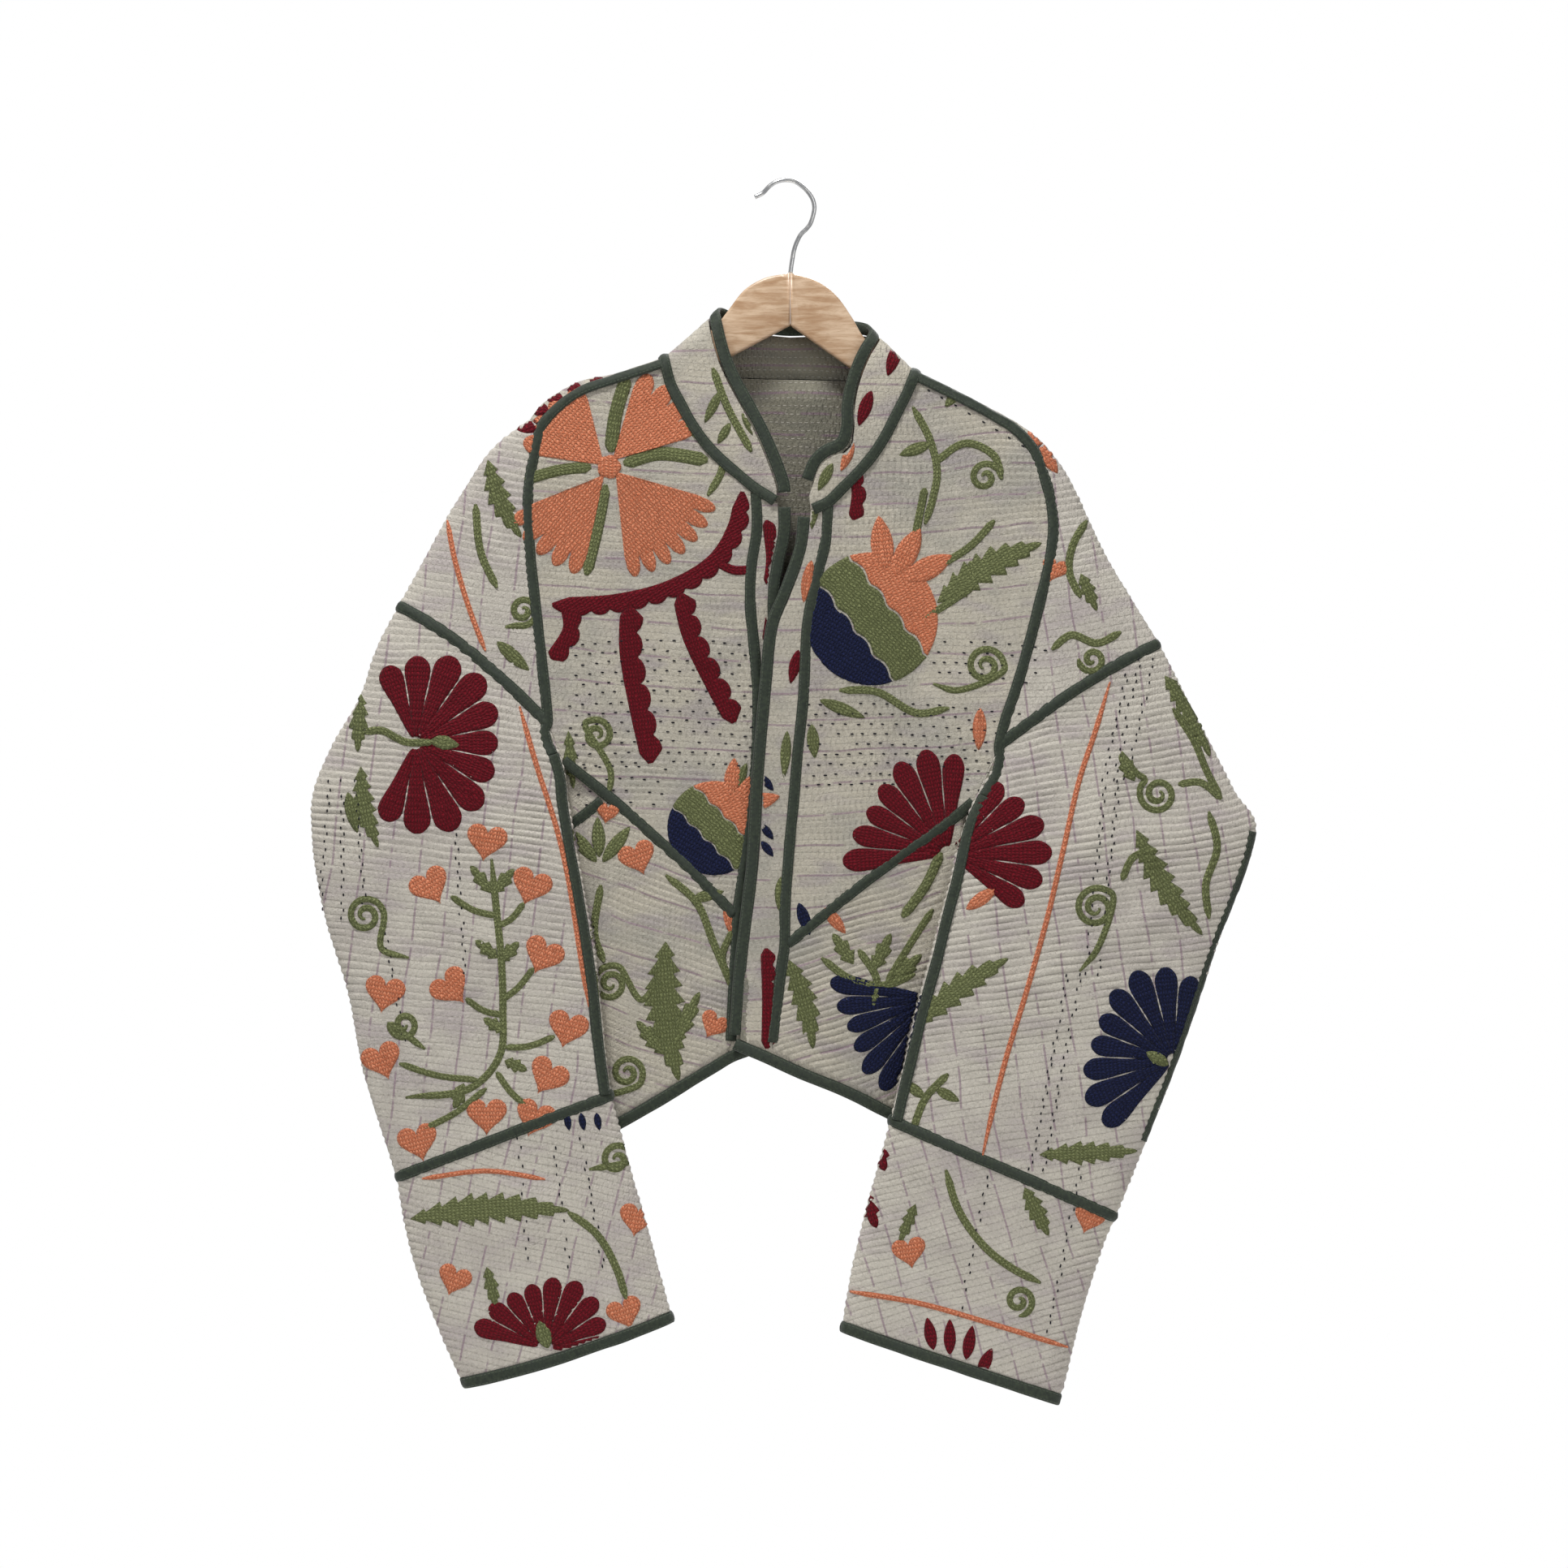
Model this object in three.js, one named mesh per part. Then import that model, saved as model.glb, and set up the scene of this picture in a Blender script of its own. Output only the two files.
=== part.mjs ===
// Quilted kantha jacket hung on a wooden hanger.
// Millimetres, +Z up, +X to the viewer's right, and the viewer looks along +Y.
// The origin is the top of the hook's bend, inside, where the hook rests on what carries it.
// Left and right in names are the viewer's.

import * as THREE from 'three';

// Driving dimensions
const WALL = 1.6; // three soft layers quilted together
const GAP = 0.3; // between pieces that are sewn to each other
const BINDING = 9; // width of the bias binding as it shows
const WIDE_BINDING = 10.5; // at the drop and cuff seams
const BINDING_RISE = 1.8; // folded binding above the cloth
const BINDING_LIFT = 0.4; // clear of the cloth that it lies on
const CURVED_LIFT = 1; // the same where the cloth curves under the binding
const VALLEY_LIFT = 5.6; // more where the collar rises from the shoulder
const EDGE_HALF = BINDING / 2 + GAP; // from an edge binding's middle to the cloth's edge
const FOLD_DEPTH = 5.6; // depth of a sleeve at its flat inner edge
const HANGER_DEPTH = 12;
const WIRE = 3.5;

const COLOUR = {
  cloth: 0xc8c3b6,
  binding: 0x3a4536,
  wood: 0xc9a98a,
  wire: 0xd5d6d8,
};

// Directions into the cloth, as long as the wall is thick
const INTO_FRONT = new THREE.Vector3(0, WALL, 0);
const INTO_BACK = new THREE.Vector3(0, -WALL, 0);
const INTO_SHOULDER_FRONT = new THREE.Vector3(0, 0.9 * WALL, -0.9 * WALL);
const INTO_SHOULDER_TOP = new THREE.Vector3(0, 0, -WALL);
const INTO_SHOULDER_BACK = new THREE.Vector3(0, -0.9 * WALL, -0.9 * WALL);

// Seams and edges of each half: the middle of its binding, as x, y, z
const HALF = {
  left: {
    sign: -1,
    shoulder: [
      [-98, -9.5, -145],
      [-139, -9.5, -159],
      [-157, -9.5, -164],
      [-176, -10, -175],
      [-189, -10.5, -186],
      [-198, -11, -198],
    ],
    ridge: [
      [-99, 0, -141],
      [-142, 0, -155],
      [-163, 0, -159],
      [-180, 0, -167],
      [-196, 0, -178],
      [-207, 0, -191],
    ],
    neck: [
      [-98, -9.5, -145],
      [-94.5, -11, -160],
      [-84.5, -13, -181],
      [-70, -14.5, -205],
      [-53, -16, -224],
      [-25.5, -17.8, -247],
    ],
    neckBand: [
      [-25.5, -17.8, -247],
      [-13, -18.6, -254.5],
      [-7.9, -19, -258],
    ],
    bandSeam: [
      [-25.5, -17.8, -247],
      [-24, -17.8, -272],
      [-30, -17.6, -326],
      [-27, -17.4, -369],
      [-24, -17.2, -409],
      [-26, -17, -474],
      [-40, -17, -592],
      [-44, -16.6, -671],
      [-45, -16.4, -693],
    ],
    frontEdge: [
      [-2.5, -19, -262],
      [-2.6, -19, -283],
      [-9, -18.4, -315],
      [-11, -17.6, -340],
      [-7, -17.2, -409],
      [-4, -17, -474],
      [-14, -17, -592],
      [-17, -16.4, -682],
    ],
    diagonal: [
      [-180, -22.5, -467],
      [-151, -17, -488],
      [-133, -15.5, -503],
      [-105, -15.5, -528],
      [-78, -16, -552],
      [-40, -17, -592],
    ],
    gusset: [
      [-147, -16.3, -491],
      [-171, -13.5, -515],
      [-205, -8, -540],
      [-237, -1.9, -560],
    ],
    underarm: [
      [-180, -14.8, -467],
      [-192, -11.5, -474],
      [-212, -6.5, -478],
      [-237, -1.9, -472],
    ],
    side: [
      [-237, -1.9, -472],
      [-238, -1.9, -560],
      [-236, -1.9, -680],
      [-233, -1.9, -800],
    ],
    hem: [
      [-233, -4.5, -808],
      [-180, -8, -781],
      [-132, -12.5, -755],
      [-103, -13.6, -738],
      [-73, -14.6, -720],
      [-45, -15.8, -703],
    ],
    hemBand: [
      [-45, -15.8, -703],
      [-17, -16, -692],
    ],
    backHem: [
      [-233, 4.5, -804],
      [-132, 10, -750],
      [-73, 11, -716],
      [-26, 11, -690],
    ],
  },
  right: {
    sign: 1,
    shoulder: [
      [102, -9.5, -156],
      [129, -9.5, -169],
      [154, -9.5, -182],
      [179, -10, -197],
      [190, -10.5, -205],
      [199, -11, -218],
    ],
    ridge: [
      [103, 0, -153],
      [131, 0, -165.5],
      [157, 0, -178.5],
      [182, 0, -192],
      [194, 0, -200],
      [206, 0, -210],
    ],
    neck: [
      [102, -9.5, -156],
      [98, -11, -167],
      [92.5, -13, -177],
      [81, -15, -201],
      [66, -17, -224],
      [33, -20.5, -258],
    ],
    neckBand: [
      [33, -20.5, -258],
      [25.5, -21, -262],
      [19, -21.4, -264.8],
    ],
    bandSeam: [
      [33, -20.5, -258],
      [30, -21.5, -294],
      [19, -23.5, -337],
      [14.5, -24.6, -380],
      [13.5, -24.8, -409],
      [7, -24.8, -474],
      [-3, -24.6, -600],
      [-6, -24.4, -639],
      [-12.5, -24, -694],
    ],
    frontEdge: [
      [13.5, -21.6, -270],
      [11.5, -22.4, -289],
      [0, -24.2, -326],
      [-12.5, -25, -358],
      [-17, -25, -400],
      [-23.5, -25, -474],
      [-27.5, -25, -545],
      [-37, -25, -623],
      [-42, -25, -685],
    ],
    diagonal: [
      [149, -23, -500],
      [130, -18, -514],
      [97.5, -16.5, -537],
      [45.5, -21, -576],
      [-2.5, -24.6, -615],
    ],
    gusset: [
      [139, -18, -507],
      [150, -13, -519],
      [192, -7, -541],
      [237, -1.9, -562],
    ],
    underarm: [
      [149, -15, -500],
      [166, -12, -500],
      [200, -6.5, -492],
      [237, -1.9, -480],
    ],
    side: [
      [237, -1.9, -480],
      [238, -1.9, -560],
      [236, -1.9, -680],
      [234, -1.9, -808],
    ],
    hem: [
      [234, -4.5, -817],
      [160, -7, -785],
      [81, -12, -748],
      [66, -14, -740],
      [41, -18.5, -728],
      [16, -21.5, -718],
      [-12.5, -24, -705],
    ],
    hemBand: [
      [-12.5, -24, -705],
      [-42, -25, -692],
    ],
    backHem: [
      [234, 4.5, -813],
      [81, 10, -743],
      [20, 11, -714],
      [-26, 11, -690],
    ],
  },
};

// Back neck seam between the two shoulders
const BACK_NECK = [
  [-98, 9.5, -145],
  [-75, 11, -153],
  [-40, 12.5, -157],
  [0, 13, -158],
  [40, 12.5, -159],
  [80, 11, -160],
  [102, 9.5, -156],
];

// Top edge of the collar, from the left front end round the back to the right front end
const COLLAR_TOP = [
  [-2.6, -20.5, -250],
  [-3.5, -20.5, -242],
  [-10, -20, -224],
  [-21, -19, -198],
  [-34, -17, -174],
  [-45.5, -14.5, -152],
  [-52.5, -12.5, -133],
  [-57, -9.5, -114],
  [-58.5, 0, -106],
  [-53, 9.8, -105],
  [-40, 12, -112],
  [2, 14, -118],
  [49, 12, -116],
  [60, 9.8, -117],
  [70, 0, -121],
  [67, -9.5, -128],
  [62, -12.5, -136],
  [55, -14.5, -152],
  [50, -17, -170],
  [47.5, -18.5, -191],
  [47, -19.5, -207],
  [32, -21, -216],
  [23, -22, -224],
  [16, -22.4, -240],
];

// A cap runs from the shoulder tip to the drop seam.
// Each row is one section: its edge at the front armhole, its outer fold, its edge at the
// back armhole, and how far the section bows up from a straight line.
const CAP = {
  left: [
    // front           fold              back             bow
    [[-198, -11, -198], [-207, 0, -191], [-198, 9.5, -197], 0],
    [[-207, -14, -240], [-238, -1, -216], [-214, 10, -246], 0],
    [[-208, -16, -280], [-263, -1.5, -253], [-221, 10, -290], 3],
    [[-202, -18.5, -337], [-287, -2.5, -296], [-227, 10, -350], 6],
    [[-192, -22, -436], [-312, -4, -341], [-234, 9, -437], 9],
  ],
  right: [
    [[199, -11, -218], [206, 0, -210], [199, 9.5, -217], 0],
    [[209, -13, -247], [223, -1, -233], [212, 10, -255], 0],
    [[213.5, -15.5, -280], [240, -1.5, -268], [219, 10, -300], 0],
    [[203, -19, -337], [262, -2.5, -312], [226, 10, -360], 2],
    [[170, -23, -453], [298, -4, -371], [234, 9, -447], 5],
  ],
};

// A sleeve runs from the drop seam to the cuff seam.
// While it is open it is joined to the body at front and back. Where it is closed its back
// edge lies right behind its front edge.
const SLEEVE = {
  left: [
    // front             fold              back             bow swell  back swell  closed
    [[-192, -22, -436], [-312, -4, -341], [-235.5, 7.5, -437], 9, 0, 0, 0],
    [[-186, -22.3, -450], [-330, -5, -376], [-215, -8, -478], 9, 9, 8, 0.4],
    [[-180, -22.6, -468], [-343, -6, -415], [-186, -16.6, -512], 7, 10, 5, 1],
    [[-175.5, -23, -500], [-366, -7, -454], [-176.5, -17.4, -532], 4, 11, 4, 1],
    [[-171, -23.5, -528], [-381, -9, -493], [-171, -17.9, -550], 2, 12, 4, 1],
    [[-166, -24, -555], [-381, -10, -527], [-166, -18.4, -567], 0, 12, 4, 1],
    [[-158, -24.5, -598], [-370, -11, -592], [-158, -18.9, -598], 0, 12, 4, 1],
    [[-152, -25, -640], [-352, -12, -650], [-152, -19.4, -640], 0, 12, 4, 1],
    [[-147, -25.5, -690], [-340, -13, -715], [-147, -19.9, -690], 0, 12, 4, 1],
    [[-141.5, -26, -733], [-313, -14, -799], [-141.5, -20.4, -733], 0, 12, 4, 1],
  ],
  right: [
    [[170, -23, -453], [298, -4, -371], [235.5, 7.5, -447], 5, 0, 0, 0],
    [[160, -23, -475], [321, -5, -416], [212, -9, -494], 5, 9, 8, 0.4],
    [[148, -23.4, -502], [341, -6, -454], [160, -17.4, -535], 4, 10, 5, 1],
    [[138, -25.8, -530], [360, -7, -491], [142, -20.2, -560], 2, 11, 4, 1],
    [[131, -27, -560], [376, -9, -515], [132, -21.4, -582], 2, 12, 4, 1],
    [[124, -27.5, -585], [368, -10, -552], [124, -21.9, -598], 0, 12, 4, 1],
    [[115, -28, -622], [345, -11, -610], [115, -22.4, -622], 0, 12, 4, 1],
    [[105, -28.5, -660], [326, -12, -668], [105, -22.9, -660], 0, 12, 4, 1],
    [[95, -29, -702], [300, -13, -738], [95, -23.4, -702], 0, 12, 4, 1],
    [[83, -29, -753], [263, -14, -831], [83, -23.4, -753], 0, 12, 4, 1],
  ],
};

// A cuff runs from the cuff seam to just short of its bound edge
const CUFF = {
  left: [
    [[-141.5, -26, -733], [-313, -14, -799], [-141.5, -20.4, -733], 0, 12, 4, 1],
    [[-133, -25, -765], [-309, -14, -825], [-133, -19.4, -765], 2, 12, 6, 1],
    [[-122, -24, -805], [-300, -14, -864], [-122, -18.4, -805], 2, 13, 7, 1],
    [[-108, -23.5, -855], [-284, -14, -908], [-108, -17.9, -855], 2, 13, 8, 1],
    [[-94, -23, -906], [-262.5, -14, -960], [-94, -17.4, -906], -4, 13, 8, 1],
  ],
  right: [
    [[83, -29, -753], [263, -14, -831], [83, -23.4, -753], 0, 12, 4, 1],
    [[72, -28, -793], [251, -14, -860], [72, -22.4, -793], 0, 12, 5, 1],
    [[57, -25, -850], [238, -14, -902], [57, -19.4, -850], 0, 13, 7, 1],
    [[45, -24, -914], [219.5, -14, -973], [45, -18.4, -914], 0, 13, 8, 1],
  ],
};

// Hanger, as x, z: the outline of each arm from the joint along its top, then back below
const HANGER = {
  left: {
    top: [
      [2.4, -73.5], [-17, -77], [-34, -86.5], [-48, -104], [-58.5, -117],
      [-84, -137], [-97, -149.5], [-120, -156], [-143, -162], [-163, -168],
      [-180, -178], [-191, -190],
    ],
    under: [[-185, -206], [-150, -192], [-100, -168], [-44, -140], [2.4, -115.5]],
  },
  right: {
    top: [
      [2.6, -73.5], [24, -80], [39, -91], [52, -109], [62, -125.5],
      [80, -143], [97, -159.5], [115, -168], [158, -188], [184, -205], [190, -214],
    ],
    under: [[182, -226], [150, -205], [100, -180], [51, -150], [2.6, -115.5]],
  },
};

// Middle of the hook's wire, as x, z, from its free end to the wood
const HOOK = [
  [-26, -12], [-20, -9], [-14, -3], [-7.5, 0.8], [0, 1.75], [6, 0.6], [11, -2.5],
  [16, -7], [20.3, -13.5], [21.8, -20], [21, -26], [18.5, -33.5], [15.5, -37.5],
  [11, -42], [8, -47.5], [5.5, -54.5], [4.2, -61.5], [3.2, -68], [2.6, -72.9],
];

// Soft folds that are wider than the quilting, as a line in x, z with a width and a height.
// A minus height is a trough.
const FRONT_FOLDS = [
  // x1  z1   x2    z2  width height
  [-70, -300, -88, -460, 16, 2.2],
  [-125, -330, -120, -440, 20, -1.8],
  [-160, -380, -135, -480, 14, 1.8],
  [-110, -560, -90, -690, 15, 2.2],
  [-70, -600, -62, -690, 10, -1.6],
  [189, -212, 201, -270, 7, 2.6],
  [70, -280, 60, -420, 18, 2],
  [110, -330, 95, -500, 20, -1.8],
  [150, -360, 120, -500, 14, 1.8],
  [60, -600, 70, -700, 14, 2.2],
];
const BACK_FOLDS = [
  [-150, -230, -120, -520, 22, 2.6],
  [-60, -260, -70, -640, 20, -2],
  [10, -300, 0, -640, 22, 2.2],
  [80, -260, 70, -620, 20, -2],
  [150, -240, 130, -560, 22, 2.6],
  [-170, -560, -110, -700, 16, 2],
  [170, -580, 120, -700, 16, -2],
];
const SLEEVE_FOLDS = [
  [-300, -400, -220, -560, 16, 2.4],
  [-330, -480, -250, -640, 14, -1.8],
  [-350, -540, -200, -640, 13, 2],
  [-300, -640, -190, -690, 12, -1.6],
  [-250, -800, -160, -830, 14, 1.6],
  [290, -420, 220, -570, 16, 2.4],
  [330, -500, 240, -640, 14, -1.8],
  [345, -560, 180, -650, 13, 2],
  [290, -680, 150, -700, 12, -1.6],
  [210, -860, 100, -850, 14, 1.6],
];

// Points

const point = ([x, y, z]) => new THREE.Vector3(x, y, z);
const mix = (a, b, t) => a + (b - a) * t;
const between = (p, q, t) => p.clone().lerp(q, t);

// Evenly spaced points on a smooth curve through the rows of a table
function along(table, parts) {
  const curve = new THREE.CatmullRomCurve3(table.map(point), false, 'centripetal');
  return curve.getSpacedPoints(parts);
}

// A curve moved sideways in the plane of the front, to the left of its run when positive
function beside(points, distance) {
  return points.map((p, i) => {
    const before = points[Math.max(i - 1, 0)];
    const after = points[Math.min(i + 1, points.length - 1)];
    const run = after.clone().sub(before).setY(0).normalize();
    return p.clone().add(new THREE.Vector3(-run.z, 0, run.x).multiplyScalar(distance));
  });
}

// A row of wall points: the outer ones, and the inner ones one wall deeper
function row(outer, into) {
  return { outer, inner: outer.map((p, i) => p.clone().add(Array.isArray(into) ? into[i] : into)) };
}

// Points inside four sides: first and last run across, start and end run from first to last
function patch(first, last, start, end) {
  const across = first.length - 1;
  const down = start.length - 1;
  return start.map((_, i) => first.map((__, j) => {
    const v = i / down;
    const u = j / across;
    const sides = first[j].clone().multiplyScalar(1 - v).addScaledVector(last[j], v)
      .addScaledVector(start[i], 1 - u).addScaledVector(end[i], u);
    return sides
      .addScaledVector(first[0], -(1 - u) * (1 - v)).addScaledVector(first[across], -u * (1 - v))
      .addScaledVector(last[0], -(1 - u) * v).addScaledVector(last[across], -u * v);
  }));
}

// A panel's wall points from its four sides
function panel(first, last, start, end) {
  return {
    outer: patch(first.outer, last.outer, start.outer, end.outer),
    inner: patch(first.inner, last.inner, start.inner, end.inner),
  };
}

// Draws the outer lines of a grid in by half a gap, so that neighbours stay apart
function drawnIn(wall, { first = true, last = true, start = true, end = true }, gap = GAP) {
  const shifted = (grid) => {
    const rows = grid.length - 1;
    const columns = grid[0].length - 1;
    const shift = (p, inside, next) => {
      const inward = inside.clone().sub(p);
      const line = next.clone().sub(p).normalize();
      const square = inward.clone().addScaledVector(line, -inward.dot(line)).length();
      return inward.multiplyScalar(Math.min((gap / 2) / square, 0.4));
    };
    return grid.map((line, i) => line.map((p, j) => {
      const q = p.clone();
      const nextAcross = line[j < columns ? j + 1 : j - 1];
      const nextDown = grid[i < rows ? i + 1 : i - 1][j];
      if (first && i === 0) q.add(shift(p, grid[1][j], nextAcross));
      if (last && i === rows) q.add(shift(p, grid[rows - 1][j], nextAcross));
      if (start && j === 0) q.add(shift(p, line[1], nextDown));
      if (end && j === columns) q.add(shift(p, line[columns - 1], nextDown));
      return q;
    }));
  };
  return { outer: shifted(wall.outer), inner: shifted(wall.inner) };
}

// Height of the soft folds at a place on the front, back or sleeve
function foldHeight(folds, x, z) {
  let height = 0;
  for (const [x1, z1, x2, z2, width, rise] of folds) {
    const length = Math.hypot(x2 - x1, z2 - z1);
    const t = ((x - x1) * (x2 - x1) + (z - z1) * (z2 - z1)) / length ** 2;
    const off = ((x - x1) * (z2 - z1) - (z - z1) * (x2 - x1)) / length;
    const fade = t > 0 && t < 1 ? Math.sin(Math.PI * t) : 0;
    height += rise * fade * Math.exp(-((off / width) ** 2));
  }
  return height;
}

// Moves a panel's wall out by its folds and fullness, fading to nothing at its sides
function folded(wall, folds, outward, fullness = 0) {
  const rows = wall.outer.length - 1;
  const columns = wall.outer[0].length - 1;
  wall.outer.forEach((line, i) => line.forEach((p, j) => {
    const fade = Math.sqrt(Math.sin((Math.PI * i) / rows) * Math.sin((Math.PI * j) / columns));
    const move = outward * (foldHeight(folds, p.x, p.z) + fullness) * (fade || 0);
    p.y += move;
    wall.inner[i][j].y += move;
  }));
  return wall;
}

// Meshes

function geometry(vertices, faces) {
  const shape = new THREE.BufferGeometry();
  shape.setAttribute('position', new THREE.Float32BufferAttribute(vertices, 3));
  shape.setIndex(faces);
  return shape;
}

const MATERIAL = Object.fromEntries(Object.entries(COLOUR).map(([name, color]) => [
  name,
  new THREE.MeshStandardMaterial({
    name,
    color,
    roughness: { cloth: 0.9, binding: 0.75, wood: 0.45, wire: 0.25 }[name],
    metalness: name === 'wire' ? 1 : 0,
    flatShading: true,
  }),
]));

function mesh(name, shape, material) {
  const piece = new THREE.Mesh(shape, MATERIAL[material]);
  piece.name = name;
  return piece;
}

// A closed wall from its outer and inner points. shows says which cells of the grid are
// cloth, and a wrapped grid has one more column of cells, from its last points to its first.
function wallShape(wall, { wrapped = false, shows = () => true, flip = false } = {}) {
  const rows = wall.outer.length;
  const columns = wall.outer[0].length;
  const vertices = [];
  const numbers = new Map();
  const number = (side, i, j) => {
    const column = j % columns;
    const key = `${side} ${i} ${column}`;
    if (!numbers.has(key)) {
      numbers.set(key, vertices.length / 3);
      vertices.push(...wall[side][i][column].toArray());
    }
    return numbers.get(key);
  };
  const faces = [];
  const quad = (a, b, c, d) => {
    if (flip) faces.push(a, c, b, a, d, c);
    else faces.push(a, b, c, a, c, d);
  };
  const place = (n) => new THREE.Vector3().fromArray(vertices, 3 * n);
  const area = (a, b, c) => new THREE.Triangle(place(a), place(b), place(c)).getArea();
  const least = ([a, b, c, d]) => Math.min(area(a, b, c), area(a, c, d));
  // A cell of the rim is split across so that neither of its triangles is a sliver
  const rim = (p, q) => {
    const cell = [number('outer', ...q), number('outer', ...p), number('inner', ...p), number('inner', ...q)];
    const other = [...cell.slice(1), cell[0]];
    quad(...(least(other) > least(cell) ? other : cell));
  };
  const cells = wrapped ? columns : columns - 1;
  const cloth = (i, j) => {
    if (i < 0 || i >= rows - 1) return false;
    if (wrapped) return shows(i, (j + cells) % cells);
    return j >= 0 && j < cells && shows(i, j);
  };
  // Cells are split the other way where they aren't flipped, because a STEP reader turns
  // the left sleeve inside out otherwise
  const turned = ([a, b, c, d]) => (flip ? [a, b, c, d] : [b, c, d, a]);
  for (let i = 0; i < rows - 1; i++) {
    for (let j = 0; j < cells; j++) {
      if (!cloth(i, j)) continue;
      const corners = [[i, j], [i, j + 1], [i + 1, j + 1], [i + 1, j]];
      const neighbours = [[i - 1, j], [i, j + 1], [i + 1, j], [i, j - 1]];
      quad(...turned(corners.map(([r, c]) => number('outer', r, c))));
      quad(...turned(corners.slice().reverse().map(([r, c]) => number('inner', r, c))));
      neighbours.forEach(([r, c], k) => {
        if (cloth(r, c)) return;
        const [p, q] = [corners[k], corners[(k + 1) % 4]];
        rim(p, q);
      });
    }
  }
  return geometry(vertices, faces);
}

// Binding sections, as sideways, outward from the cloth's outer face
const seamSection = (width, lift) => [
  [-width / 2, lift],
  [-width * 0.36, lift + BINDING_RISE * 0.85],
  [0, lift + BINDING_RISE],
  [width * 0.36, lift + BINDING_RISE * 0.85],
  [width / 2, lift],
];
const EDGE_SECTION = [
  [-BINDING / 2, 0.9],
  [0, 1.3],
  [BINDING / 2, 0.2],
  [BINDING / 2, -WALL - 0.2],
  [0, -WALL - 1.3],
  [-BINDING / 2, -WALL - 0.9],
];

// A section swept along points on the cloth, with the cloth's outward direction at each
function sweptShape(points, outward, section, ring = false) {
  const steps = points.length;
  const vertices = [];
  points.forEach((p, i) => {
    const before = points[ring ? (i + steps - 1) % steps : Math.max(i - 1, 0)];
    const after = points[ring ? (i + 1) % steps : Math.min(i + 1, steps - 1)];
    const run = after.clone().sub(before).normalize();
    const out = outward[i].clone();
    out.addScaledVector(run, -out.dot(run)).normalize();
    const side = new THREE.Vector3().crossVectors(run, out);
    for (const [aside, height] of section) {
      vertices.push(...p.clone().addScaledVector(side, aside).addScaledVector(out, height).toArray());
    }
  });
  const sides = section.length;
  const faces = [];
  for (let i = 0; i < (ring ? steps : steps - 1); i++) {
    const next = (i + 1) % steps;
    for (let k = 0; k < sides; k++) {
      const [a, b] = [i * sides + k, i * sides + ((k + 1) % sides)];
      const [c, d] = [next * sides + ((k + 1) % sides), next * sides + k];
      faces.push(a, b, c, a, c, d);
    }
  }
  if (!ring) {
    for (let k = 1; k < sides - 1; k++) {
      const last = (steps - 1) * sides;
      faces.push(0, k + 1, k, last, last + k, last + k + 1);
    }
  }
  return geometry(vertices, faces);
}

// The part of a line that stays clear of what crosses its ends
function trimmed(points, atStart, atEnd) {
  const curve = new THREE.CatmullRomCurve3(points, false, 'centripetal');
  const length = curve.getLength();
  const steps = points.length - 1;
  return points.map((_, i) => curve.getPointAt(mix(atStart / length, 1 - atEnd / length, i / steps)));
}

const OUT_FRONT = new THREE.Vector3(0, -1, 0);
const OUT_BACK = new THREE.Vector3(0, 1, 0);

function binding(name, points, outward, options = {}) {
  const { width = BINDING, lift = BINDING_LIFT, ring = false, edge = false } = options;
  const directions = Array.isArray(outward) ? outward : points.map(() => outward);
  const section = edge ? EDGE_SECTION : seamSection(width, lift);
  return mesh(name, sweptShape(points, directions, section, ring), 'binding');
}

// Sleeves

const AROUND = 10; // columns on each half of a section

// One section of a cap or sleeve: front edge, outer fold, back edge
function section([front, fold, back, bow, swell, backSwell, closed]) {
  const half = (edge, bulge, sign) => {
    const points = [];
    for (let k = 0; k <= AROUND; k++) {
      const a = k / AROUND;
      const open = Math.sin((Math.PI * a) / 2);
      const shut = (1 - Math.cos(Math.PI * a)) / 2;
      const f = mix(open, shut, closed);
      const arch = Math.sin(Math.PI * a);
      const yOpen = mix(fold[1], edge[1], Math.cos((Math.PI * a) / 2) ** 0.8 || 0)
        + sign * 0.3 * bulge * arch;
      const yShut = mix(edge[1], fold[1], f) + sign * bulge * Math.max(arch, 0) ** 0.65;
      points.push(new THREE.Vector3(
        mix(edge[0], fold[0], f),
        mix(yOpen, yShut, closed),
        mix(edge[2], fold[2], f) + bow * 4 * f * (1 - f),
      ));
    }
    return points;
  };
  const frontHalf = half(front, swell, -1);
  const backHalf = half(back, backSwell, 1).reverse();
  const outer = [...frontHalf, ...backHalf.slice(1)];
  return { outer, into: intoSection(outer, closed, swell > 0) };
}

// Directions into a section's wall, in the plane of the section. At the free edges of an
// open section they are square to the wall where it swells, and straight back elsewhere.
function intoSection(outer, closed, swells) {
  const last = outer.length - 1;
  const across = outer[AROUND].clone().sub(outer[0]).setY(0).normalize();
  const square = (before, after) => {
    const run = after.clone().sub(before);
    const [flat, deep] = [run.dot(across), run.y];
    const size = Math.hypot(flat, deep);
    return across.clone().multiplyScalar(-deep / size).setY(flat / size);
  };
  return outer.map((p, j) => {
    if (j > 0 && j < last) return square(outer[j - 1], outer[j + 1]).multiplyScalar(WALL);
    const edge = j === 0 ? square(outer[0], outer[1]) : square(outer[last - 1], outer[last]);
    const free = swells ? edge : new THREE.Vector3(0, j === 0 ? 1 : -1, 0);
    const joined = square(outer[j === 0 ? last : j - 1], outer[j === 0 ? 1 : 0]);
    return free.lerp(joined.multiplyScalar(1.3), closed).multiplyScalar(WALL);
  });
}

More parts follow.
